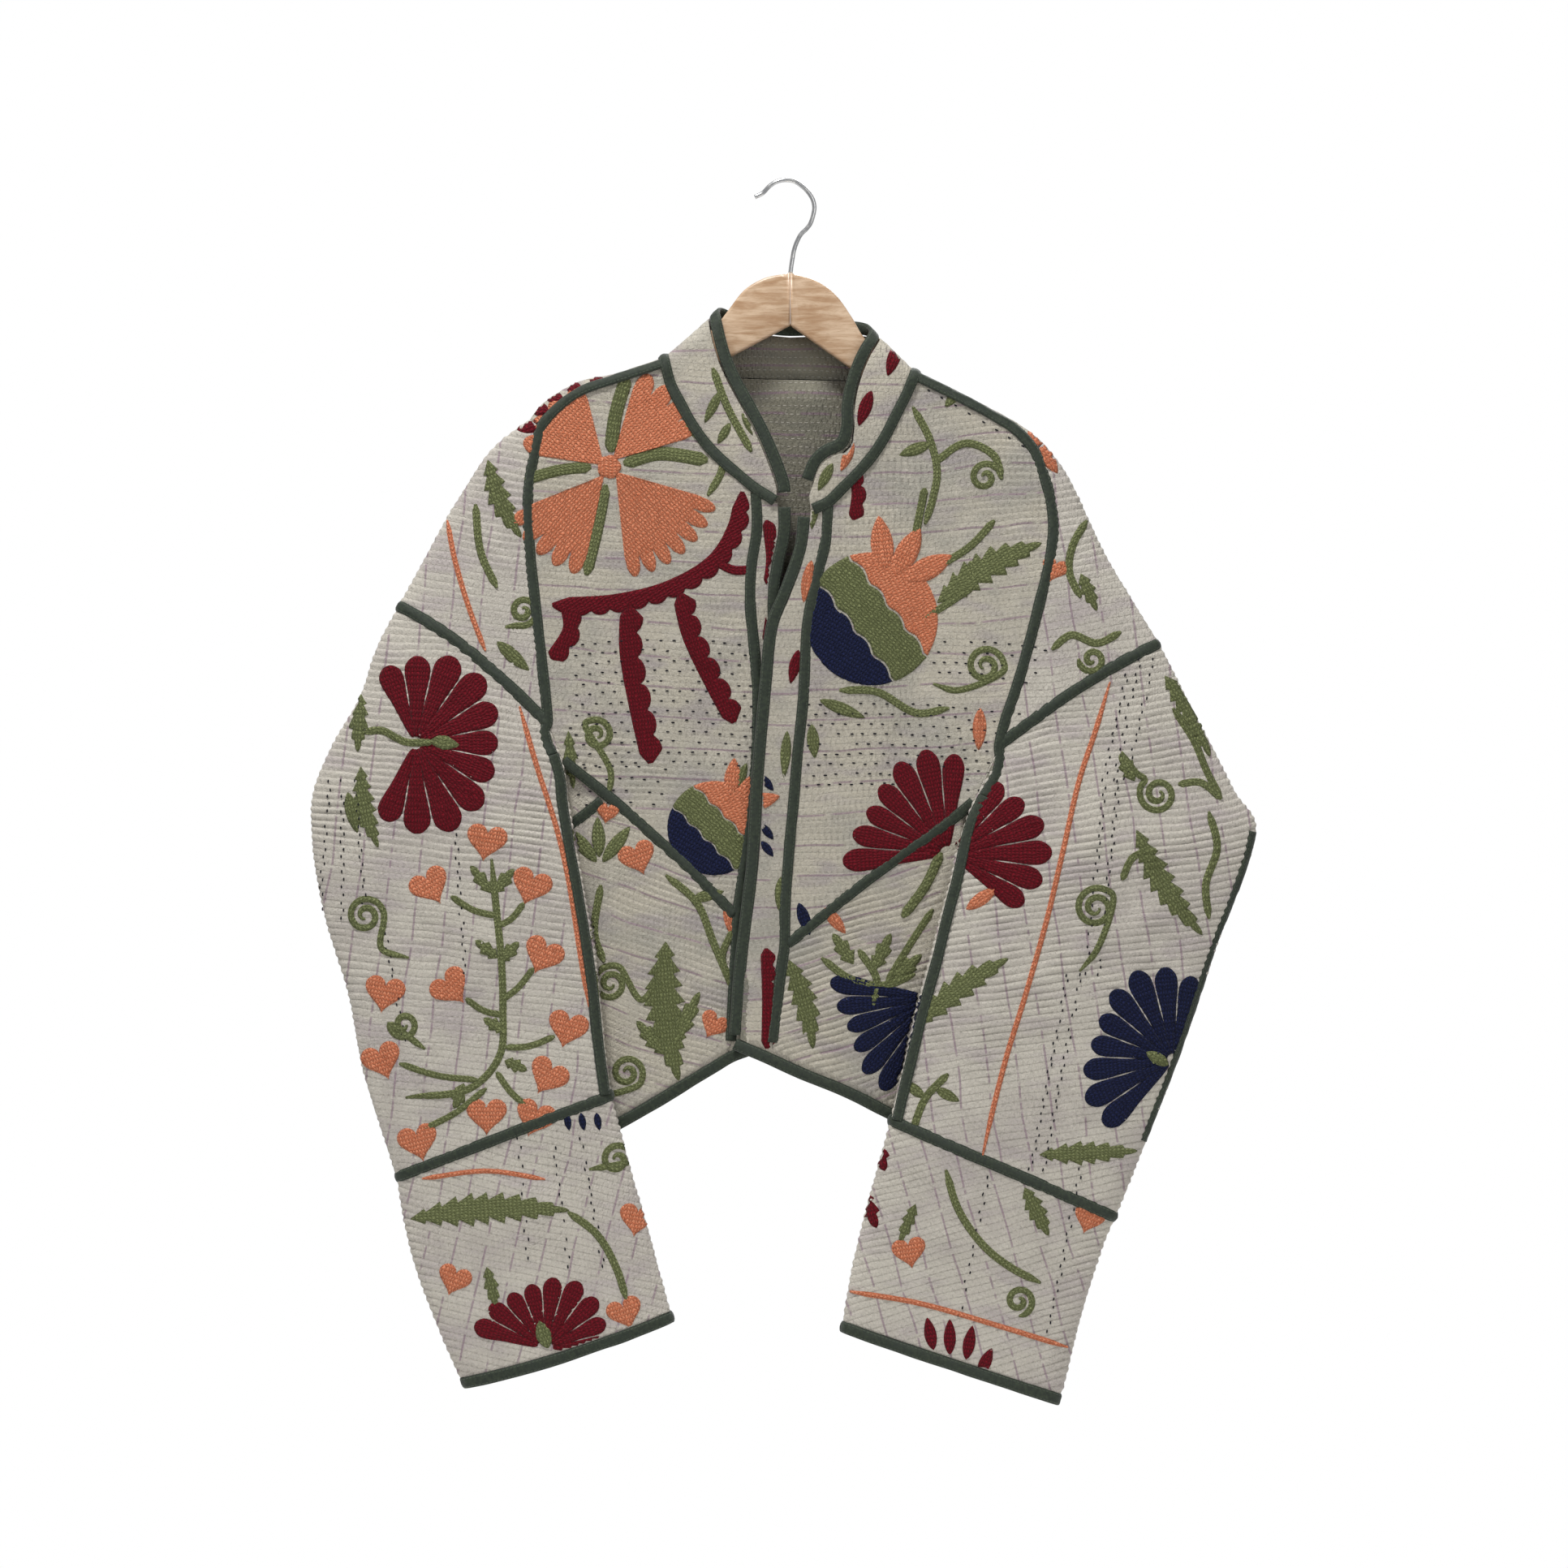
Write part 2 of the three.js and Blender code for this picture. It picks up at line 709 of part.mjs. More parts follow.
// Rows between the rows of a table of sections
function sections(table, parts) {
  const columns = table[0].length;
  const curves = [0, 1, 2].map((c) => new THREE.CatmullRomCurve3(
    table.map((entry) => point(entry[c])), false, 'centripetal'));
  const rows = [];
  for (let i = 0; i <= parts; i++) {
    const t = i / parts;
    const at = t * (table.length - 1);
    const k = Math.min(Math.floor(at), table.length - 2);
    const entry = curves.map((curve) => curve.getPoint(t).toArray());
    for (let c = 3; c < columns; c++) entry.push(mix(table[k][c], table[k + 1][c], at - k));
    rows.push(section(entry));
  }
  return rows;
}

// Wall points of a run of sections, with the soft folds on its front and back
function sleeveWall(rows, firstFree, lastFree) {
  const outer = rows.map((entry) => entry.outer.map((p) => p.clone()));
  outer.forEach((line, i) => line.forEach((p, j) => {
    const rim = Math.sin((Math.PI * j) / (2 * AROUND)) * Math.abs(Math.cos((Math.PI * j) / (2 * AROUND)));
    const start = firstFree ? 1 : Math.min(i / 2, 1);
    const end = lastFree ? 1 : Math.min((rows.length - 1 - i) / 2, 1);
    const move = foldHeight(SLEEVE_FOLDS, p.x, p.z) * Math.min(2 * rim, 1) * start * end;
    p.y += j < AROUND ? -move : move * 0.6;
  }));
  return { outer, inner: outer.map((line, i) => line.map((p, j) => p.clone().add(rows[i].into[j]))) };
}

const CAP_ROWS = 8;
const SLEEVE_ROWS = 15;
const OPEN_ROWS = 3; // rows of the sleeve above the underarm
const CUFF_ROWS = { left: 6, right: 6 };

const capSections = (side) => sections(CAP[side].map((entry) => [...entry, 0, 0, 0]), CAP_ROWS);
const sleeveSections = (side) => sections(SLEEVE[side], SLEEVE_ROWS);
const cuffSections = (side) => sections(CUFF[side], CUFF_ROWS[side]);

const outwardOf = (entry) => entry.into.map((into) => into.clone().normalize().negate());

// A ring or open band of binding over the seam between two runs of sections
function seamBand(name, entry, { closed, width = WIDE_BINDING }) {
  const points = entry.outer;
  const out = outwardOf(entry);
  if (closed) return binding(name, points, out, { ring: true, width, lift: 1.4 * CURVED_LIFT });
  return binding(name, points.slice(1, -1), out.slice(1, -1), { width, lift: CURVED_LIFT });
}

function sleeve(side) {
  const flip = side === 'right';
  const caps = capSections(side);
  const rows = sleeveSections(side);
  const cuffs = cuffSections(side);
  const tipOnly = { last: false, start: false, end: false };
  const capWall = drawnIn(drawnIn(sleeveWall(caps, false, false), {}), tipOnly, 7 * GAP);
  const sleeveParts = drawnIn(sleeveWall(rows, false, false), { start: false, end: false });
  drawOpenEdges(sleeveParts);
  const cuffWall = drawnIn(sleeveWall(cuffs, false, true), { last: false, start: false, end: false });
  const seamClosed = (i, j) => j < 2 * AROUND || i >= OPEN_ROWS;
  const group = new THREE.Group();
  group.add(
    mesh(`cap_${side}`, wallShape(capWall, { flip }), 'cloth'),
    mesh(`sleeve_${side}`, wallShape(sleeveParts, { wrapped: true, shows: seamClosed, flip }), 'cloth'),
    mesh(`cuff_${side}`, wallShape(cuffWall, { wrapped: true, flip }), 'cloth'),
    seamBand(`drop_seam_binding_${side}`, caps[CAP_ROWS], { closed: false }),
    seamBand(`cuff_seam_binding_${side}`, cuffs[0], { closed: true }),
    cuffEdge(side, cuffs),
    innerSeam(side, rows),
  );
  if (side === 'right') group.add(elbowSeam(rows));
  return group;
}

// Moves the free front and back edges of the open rows in, clear of the body's panels
function drawOpenEdges(wall) {
  for (let i = 0; i <= OPEN_ROWS; i++) {
    for (const grid of [wall.outer, wall.inner]) {
      const line = grid[i];
      const last = line.length - 1;
      line[0].add(line[1].clone().sub(line[0]).setLength(GAP));
      line[last].add(line[last - 1].clone().sub(line[last]).setLength(GAP));
    }
  }
}

// Bound edge of the cuff, one binding's half width beyond the cloth
function cuffEdge(side, cuffs) {
  const last = cuffs[cuffs.length - 1];
  const previous = cuffs[cuffs.length - 2];
  const points = last.outer.map((p, j) => {
    const run = p.clone().sub(previous.outer[j]).setY(0).normalize();
    return p.clone().addScaledVector(run, EDGE_HALF);
  });
  return binding(`cuff_edge_binding_${side}`, points, outwardOf(last), { ring: true, edge: true });
}

// Binding down the inner edge of the sleeve, on its front just inside the fold
function innerSeam(side, rows) {
  const from = OPEN_ROWS;
  const line = rows.slice(from).map((entry) => entry.outer[1]);
  const out = rows.slice(from).map((entry) => outwardOf(entry)[1]);
  return binding(`sleeve_inner_binding_${side}`, trimmed(line, 14, 6), out);
}

// Binding down the outer fold of the right sleeve, from the elbow to near the cuff
function elbowSeam(rows) {
  const part = rows.slice(7, 15);
  const line = part.map((entry) => between(entry.outer[AROUND - 1], entry.outer[AROUND], 0.5));
  const out = part.map((entry) => between(outwardOf(entry)[AROUND - 1], outwardOf(entry)[AROUND], 0.5));
  return binding('sleeve_outer_binding_right', trimmed(line, 0, 4), out, { width: 7, lift: CURVED_LIFT });
}

// Body

const SHOULDER_PARTS = 5;
const NECK_PARTS = 7;
const BAND_PARTS = 2;
const BACK_NECK_PARTS = 8;
const LOWER_PARTS = 8; // rows of the lower fronts
const GUSSET_PARTS = 3;

// Front armhole points, the same that the cap and the open part of the sleeve have
function armhole(side) {
  const caps = capSections(side).map((entry) => entry.outer[0]);
  const rows = sleeveSections(side).slice(1, OPEN_ROWS + 1).map((entry) => entry.outer[0]);
  return [...caps, ...rows];
}

function frontSeams(side) {
  const half = HALF[side];
  const hole = armhole(side);
  const upperParts = hole.length - 1;
  const corner = hole[upperParts].toArray();
  const top = [...along(half.shoulder, SHOULDER_PARTS).reverse(), ...along(half.neck, NECK_PARTS).slice(1)];
  const diagonal = along([corner, ...half.diagonal.slice(1)], SHOULDER_PARTS + NECK_PARTS);
  return { half, hole, upperParts, top, diagonal };
}

// The band seam from the neck to the diagonal, and from there to the hem
function bandSeamParts(side, seams) {
  const rows = seams.half.bandSeam;
  const end = seams.half.diagonal[seams.half.diagonal.length - 1];
  const above = rows.filter((entry) => entry[2] > end[2] + 5);
  const below = rows.filter((entry) => entry[2] < end[2] - 5);
  return {
    upper: along([...above, end], seams.upperParts),
    lower: along([end, ...below], LOWER_PARTS),
  };
}

function frontUpper(side) {
  const seams = frontSeams(side);
  const into = seams.top.map((_, j) => (j <= SHOULDER_PARTS ? INTO_SHOULDER_FRONT : INTO_FRONT));
  const wall = panel(
    row(seams.top, into),
    row(seams.diagonal, INTO_FRONT),
    row(seams.hole, seams.hole.map((_, i) => (i === 0 ? INTO_SHOULDER_FRONT : INTO_FRONT))),
    row(bandSeamParts(side, seams).upper, INTO_FRONT),
  );
  folded(wall, FRONT_FOLDS, -1);
  return mesh(`front_upper_${side}`, wallShape(drawnIn(wall, {}), { flip: side === 'left' }), 'cloth');
}

function sideSeam(side, parts, y) {
  const { half } = frontSeams(side);
  const above = half.gusset[half.gusset.length - 1];
  const rows = half.side.filter((entry) => entry[2] < above[2] - 5);
  return along([above, ...rows], parts).map((p) => p.setY(y));
}

function gussetLines(side) {
  const { half, diagonal } = frontSeams(side);
  const near = half.gusset[0];
  const at = diagonal.findIndex((p) => Math.abs(p.x) < Math.abs(near[0]) + 0.1);
  return { half, diagonal, at: Math.max(at, 1) };
}

const GUSSET_ACROSS = 5;

function gusset(side) {
  const { half, diagonal, at } = gussetLines(side);
  const meeting = diagonal[at];
  const lower = along([...half.gusset.slice(1).reverse(), meeting.toArray()], GUSSET_ACROSS);
  const upper = along(half.underarm.slice().reverse(), GUSSET_ACROSS);
  const outerSide = [upper[0], lower[0]];
  const wall = panel(
    row(upper, INTO_FRONT),
    row(lower, INTO_FRONT),
    row(spread(outerSide, GUSSET_PARTS), INTO_FRONT),
    row(spread([upper[GUSSET_ACROSS], meeting], GUSSET_PARTS), INTO_FRONT),
  );
  return mesh(`gusset_${side}`, wallShape(drawnIn(wall, {}), { flip: side === 'left' }), 'cloth');
}

// Points along a straight line between two ends
function spread([from, to], parts) {
  return Array.from({ length: parts + 1 }, (_, i) => between(from, to, i / parts));
}

function frontLower(side) {
  const seams = frontSeams(side);
  const { half, diagonal, at } = gussetLines(side);
  const gussetLine = along([...half.gusset.slice(1).reverse(), diagonal[at].toArray()], GUSSET_ACROSS);
  const top = [...gussetLine, ...diagonal.slice(at + 1)];
  const hem = beside(along(half.hem, top.length - 1), side === 'left' ? EDGE_HALF : -EDGE_HALF);
  const outerSide = [gussetLine[0].toArray(), ...half.side.slice(2, -1), hem[0].toArray()];
  const bandSide = bandSeamParts(side, seams).lower;
  bandSide[LOWER_PARTS] = hem[hem.length - 1].clone();
  const wall = panel(
    row(top, INTO_FRONT),
    row(hem, INTO_FRONT),
    row(along(outerSide, LOWER_PARTS), INTO_FRONT),
    row(bandSide, INTO_FRONT),
  );
  folded(wall, FRONT_FOLDS, -1);
  return mesh(`front_lower_${side}`, wallShape(drawnIn(wall, {}), { flip: side === 'left' }), 'cloth');
}

function band(side) {
  const seams = frontSeams(side);
  const { half } = seams;
  const parts = bandSeamParts(side, seams);
  const inner = [...parts.upper, ...parts.lower.slice(1)];
  const rows = inner.length - 1;
  const edge = beside(along(half.frontEdge, rows), side === 'left' ? -EDGE_HALF : EDGE_HALF);
  const hem = beside(along(half.hemBand, BAND_PARTS), side === 'left' ? EDGE_HALF : -EDGE_HALF);
  const neck = along(half.neckBand, BAND_PARTS);
  edge[0] = neck[BAND_PARTS].clone();
  inner[rows] = hem[0].clone();
  hem[BAND_PARTS].x = edge[rows].x;
  edge[rows] = hem[BAND_PARTS].clone();
  const wall = panel(...[neck, hem, inner, edge].map((line) => row(line, INTO_FRONT)));
  return mesh(`front_band_${side}`, wallShape(drawnIn(wall, {}), { flip: side === 'left' }), 'cloth');
}

const BACK_ROWS = 12; // below the back armhole
const BACK_FULLNESS = 5;
const BACK_SHOULDER = 5;
const BACK_COLUMNS = 2 * BACK_SHOULDER + BACK_NECK_PARTS;

// The back reaches over the shoulders to the front shoulder seams
function back() {
  const sides = ['left', 'right'].map((side) => {
    const hole = capSections(side).map((entry) => entry.outer[2 * AROUND]);
    const low = HALF[side].side[0];
    const seam = along([[low[0], 1.9, low[2]],
      ...HALF[side].side.slice(1, -1).map(([x, , z]) => [x, 1.9, z]),
      HALF[side].backHem[0]], BACK_ROWS - 1);
    return [...hole, ...seam];
  });
  const shoulders = ['left', 'right'].map((side) => {
    const ridge = along(HALF[side].ridge, BACK_SHOULDER);
    const front = along(HALF[side].shoulder, BACK_SHOULDER);
    const tip = capSections(side)[0].outer;
    ridge[BACK_SHOULDER] = tip[AROUND].clone();
    const behind = ridge.map((p) => new THREE.Vector3(p.x, 9.5, p.z - 4));
    behind[BACK_SHOULDER] = tip[2 * AROUND].clone();
    behind[0] = point(side === 'left' ? BACK_NECK[0] : BACK_NECK[BACK_NECK.length - 1]);
    return { ridge, front, behind };
  });
  const neck = along(BACK_NECK, BACK_NECK_PARTS);
  const [left, right] = shoulders;
  const across = (key) => [
    ...left[key].slice().reverse(),
    ...neck.slice(1, -1),
    ...right[key],
  ];
  const top = across('behind');
  const columns = top.length - 1;
  const hemCurve = [...HALF.left.backHem, ...HALF.right.backHem.slice(0, -1).reverse()];
  const hem = beside(along(hemCurve, columns), EDGE_HALF);
  sides[0][sides[0].length - 1] = hem[0].clone();
  sides[1][sides[1].length - 1] = hem[columns].clone();
  const topInto = top.map((_, j) => (
    j <= BACK_SHOULDER || j >= columns - BACK_SHOULDER ? INTO_SHOULDER_BACK : INTO_BACK));
  const wall = panel(
    row(top, topInto),
    row(hem, INTO_BACK),
    row(sides[0], sides[0].map((_, i) => (i === 0 ? INTO_SHOULDER_BACK : INTO_BACK))),
    row(sides[1], sides[1].map((_, i) => (i === 0 ? INTO_SHOULDER_BACK : INTO_BACK))),
  );
  folded(wall, BACK_FOLDS, 1, BACK_FULLNESS);
  const over = [row(across('front'), INTO_SHOULDER_FRONT), row(across('ridge'), INTO_SHOULDER_TOP)];
  wall.outer.unshift(...over.map((line) => line.outer));
  wall.inner.unshift(...over.map((line) => line.inner));
  const onShoulder = (i, j) => i >= 2 || j < BACK_SHOULDER || j >= columns - BACK_SHOULDER;
  return mesh('back', wallShape(drawnIn(wall, {}), { shows: onShoulder }), 'cloth');
}

// Neck seam from the left front end round the back to the right front end
function neckLine() {
  const front = (side) => [
    ...along(HALF[side].neckBand, BAND_PARTS).reverse(),
    ...along(HALF[side].neck, NECK_PARTS).reverse().slice(1),
  ];
  const [left, right] = [front('left'), front('right')];
  const neck = along(BACK_NECK, BACK_NECK_PARTS);
  return [
    ...left,
    point(HALF.left.ridge[0]),
    ...neck,
    point(HALF.right.ridge[0]),
    ...right.slice().reverse(),
  ];
}

const COLLAR_ROWS = 3;

// Places of the neck line's points along the collar's top edge, matched at the two folds
function collarLines() {
  const low = neckLine();
  const top = new THREE.CatmullRomCurve3(COLLAR_TOP.map(point), false, 'centripetal');
  const frontSteps = BAND_PARTS + NECK_PARTS;
  const folds = [0, frontSteps + 1, frontSteps + 3 + BACK_NECK_PARTS, low.length - 1];
  const topFolds = [0, 8, 14, COLLAR_TOP.length - 1];
  const high = low.map((_, i) => {
    const k = folds.findIndex((at, n) => n > 0 && i <= at) - 1;
    const t = (i - folds[k]) / (folds[k + 1] - folds[k]);
    return top.getPoint(mix(topFolds[k], topFolds[k + 1], t) / (COLLAR_TOP.length - 1));
  });
  return { low, high };
}

function collar() {
  const { low, high } = collarLines();
  const outer = [];
  for (let i = 0; i <= COLLAR_ROWS; i++) {
    outer.push(low.map((p, j) => {
      const height = high[j].distanceTo(p);
      const rise = high[j].clone().sub(p).normalize();
      const slant = Math.max(rise.clone().cross(runAt(high, j)).length(), 0.3) / 1.3;
      return between(p, high[j], mix(0.5 / height, 1 - EDGE_HALF / slant / height, i / COLLAR_ROWS));
    }));
  }
  const inner = outer.map((line, i) => line.map((p, j) => {
    const into = collarInto(outer, i, j);
    return p.clone().addScaledVector(into, WALL);
  }));
  return mesh('collar', wallShape({ outer, inner }, { flip: true }), 'cloth');
}

// Direction of a line of points at one of them
function runAt(line, j) {
  return line[Math.min(j + 1, line.length - 1)].clone().sub(line[Math.max(j - 1, 0)]).normalize();
}

// Direction from the collar's outer face to its inner face
function collarInto(outer, i, j) {
  const run = runAt(outer[i], j);
  const rise = outer[COLLAR_ROWS][j].clone().sub(outer[0][j]);
  return new THREE.Vector3().crossVectors(run, rise).normalize();
}

function collarBindings() {
  const { low, high } = collarLines();
  const out = low.map((p, j) => {
    const rise = high[j].clone().sub(p);
    return new THREE.Vector3().crossVectors(rise, runAt(low, j)).normalize();
  });
  const folds = [BAND_PARTS + NECK_PARTS + 1, low.length - BAND_PARTS - NECK_PARTS - 2];
  const seamOut = out.map((direction, j) => {
    const fromFold = Math.min(...folds.map((at) => Math.abs(j - at)));
    const body = j > folds[0] && j < folds[1] ? OUT_BACK : OUT_FRONT;
    const below = fromFold === 0 ? new THREE.Vector3(0, 0, 1) : body;
    return direction.clone().add(below).normalize();
  });
  const raised = low.map((p, j) => {
    const fromFold = Math.min(...folds.map((at) => Math.abs(j - at)));
    return p.clone().addScaledVector(seamOut[j], fromFold <= 2 ? VALLEY_LIFT : 0.5);
  });
  return [
    binding('neck_seam_binding', trimmed(raised, 2, 2), seamOut),
    binding('collar_top_binding', high, out, { edge: true }),
  ];
}

// Bindings on the body

function bodyBindings(side) {
  const seams = frontSeams(side);
  const { half, hole, diagonal } = seams;
  const parts = bandSeamParts(side, seams);
  const shoulder = along(half.shoulder, SHOULDER_PARTS);
  const rows = sleeveSections(side).slice(1, OPEN_ROWS + 1);
  const onSleeve = rows.map((entry, i) => between(entry.outer[0], entry.outer[1], (i + 1) / OPEN_ROWS));
  const yoke = [...shoulder, ...hole.slice(1, -OPEN_ROWS), ...onSleeve];
  const yokeOut = yoke.map((_, i) => {
    const k = i - (yoke.length - OPEN_ROWS);
    if (k >= 0) return between(OUT_FRONT, outwardOf(rows[k])[1], (k + 1) / OPEN_ROWS);
    const t = THREE.MathUtils.smoothstep(i, SHOULDER_PARTS - 2, SHOULDER_PARTS + 2);
    return new THREE.Vector3(0, -1, mix(0.8, 0, t)).normalize();
  });
  const bandLine = [...parts.upper, ...parts.lower.slice(1)];
  const { at } = gussetLines(side);
  const hemLine = [...along(half.hem, 14), ...along(half.hemBand, 2).slice(1)];
  const edgeLine = along(half.frontEdge, bandLine.length - 1);
  const flipped = (points) => (side === 'left' ? points : points.slice().reverse());
  return [
    binding(`shoulder_armhole_binding_${side}`, trimmed(yoke, 6, 6), yokeOut, { lift: CURVED_LIFT }),
    binding(`front_diagonal_binding_${side}`, trimmed(diagonal, 8, 10), OUT_FRONT),
    binding(`band_seam_binding_${side}`, trimmed(bandLine, 9, 6), OUT_FRONT),
    binding(`front_edge_binding_${side}`, flipped(edgeLine).reverse(), OUT_FRONT, { edge: true }),
    binding(`front_hem_binding_${side}`, flipped(trimmed(hemLine, 6, 0)), OUT_FRONT, { edge: true }),
    backArmhole(side),
    ...(side === 'left' ? [gussetBinding(diagonal[at], half.gusset)] : []),
  ];
}

// On the right the sleeve hides this seam
function gussetBinding(start, table) {
  const line = along([start.toArray(), ...table.slice(1)], 6).slice(0, 4);
  return binding('gusset_binding_left', trimmed(line, 6, 2), OUT_FRONT, { lift: CURVED_LIFT });
}

function backArmhole(side) {
  const line = capSections(side).slice(1).map((entry) => entry.outer[2 * AROUND]);
  const lift = 1.6 * CURVED_LIFT;
  return binding(`back_armhole_binding_${side}`, trimmed(line, 12, 4), OUT_BACK, { lift });
}

function backHem() {
  const curve = [...HALF.left.backHem, ...HALF.right.backHem.slice(0, -1).reverse()];
  const line = trimmed(along(curve, BACK_COLUMNS), 6, 6);
  return binding('back_hem_binding', line.reverse(), OUT_BACK, { edge: true });
}

// Hanger

function arm(side) {
  const { top, under } = HANGER[side];
  const outline = new THREE.Shape();
  outline.moveTo(...top[0]);
  outline.splineThru(top.slice(1, 5).map(([x, z]) => new THREE.Vector2(x, z)));
  outline.splineThru(top.slice(5).map(([x, z]) => new THREE.Vector2(x, z)));
  under.forEach(([x, z]) => outline.lineTo(x, z));
  const bevel = 2;
  const shape = new THREE.ExtrudeGeometry(outline, {
    depth: HANGER_DEPTH - 2 * bevel,
    bevelEnabled: true,
    bevelThickness: bevel,
    bevelSize: bevel,
    bevelOffset: -bevel,
    bevelSegments: 1,
    curveSegments: 2,
  });
  shape.translate(0, 0, -HANGER_DEPTH / 2 + bevel);
  shape.rotateX(Math.PI / 2);
  return mesh(`hanger_arm_${side}`, shape, 'wood');
}

function hook() {
  const line = along(HOOK.map(([x, z]) => [x, 0, z]), 26);
  const sides = 6;
  const round = Array.from({ length: sides }, (_, k) => {
    const angle = (-2 * Math.PI * k) / sides;
    return [(WIRE / 2) * Math.cos(angle), (WIRE / 2) * Math.sin(angle)];
  });
  return mesh('hanger_hook', sweptShape(line, line.map(() => OUT_FRONT), round), 'wire');
}

const jacket = new THREE.Group();
jacket.add(back(), collar(), ...collarBindings(), backHem());
for (const side of ['left', 'right']) {
  jacket.add(
    frontUpper(side),
    gusset(side),
    frontLower(side),
    band(side),
    sleeve(side),
    ...bodyBindings(side),
    arm(side),
  );
}
jacket.add(hook());

export default jacket;
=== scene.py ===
"""Looks of the kantha jacket on its hanger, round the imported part.

Tables are in millimetres and in the part's own frame, and every object is in metres.
Left and right are the viewer's. Motifs are placed in pixels of the 1932 pixel photograph.
"""
import math

import bpy
import numpy as np
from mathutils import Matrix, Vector
from mathutils.bvhtree import BVHTree
from mathutils.geometry import delaunay_2d_cdt


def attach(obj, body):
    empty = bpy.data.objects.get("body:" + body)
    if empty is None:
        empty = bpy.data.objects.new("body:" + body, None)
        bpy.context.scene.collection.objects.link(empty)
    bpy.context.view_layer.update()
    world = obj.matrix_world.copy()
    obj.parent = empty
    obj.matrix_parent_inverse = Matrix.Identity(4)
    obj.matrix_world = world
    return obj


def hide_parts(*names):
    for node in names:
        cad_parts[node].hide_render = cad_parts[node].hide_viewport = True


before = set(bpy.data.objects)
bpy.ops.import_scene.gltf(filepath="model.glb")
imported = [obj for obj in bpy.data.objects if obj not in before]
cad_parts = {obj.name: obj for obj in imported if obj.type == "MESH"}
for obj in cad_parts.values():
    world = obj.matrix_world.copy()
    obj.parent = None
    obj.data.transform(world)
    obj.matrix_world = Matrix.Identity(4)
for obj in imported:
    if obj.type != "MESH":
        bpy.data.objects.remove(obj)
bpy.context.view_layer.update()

PIXEL = 0.65  # mm for one pixel of the photograph
ORIGIN = (970, 221)  # pixel of the frame's origin
WALL = 1.6  # thickness of the quilted cloth
BINDING = 9
EDGE_HALF = BINDING / 2 + 0.3  # half of a binding round an edge
CAMERA_PLACE = (-0.0026, -6.025, -0.484)
CAMERA_LENS = 172
CURVE_SAMPLES = 401
LATTICE = 64  # cells a side before the noise repeats

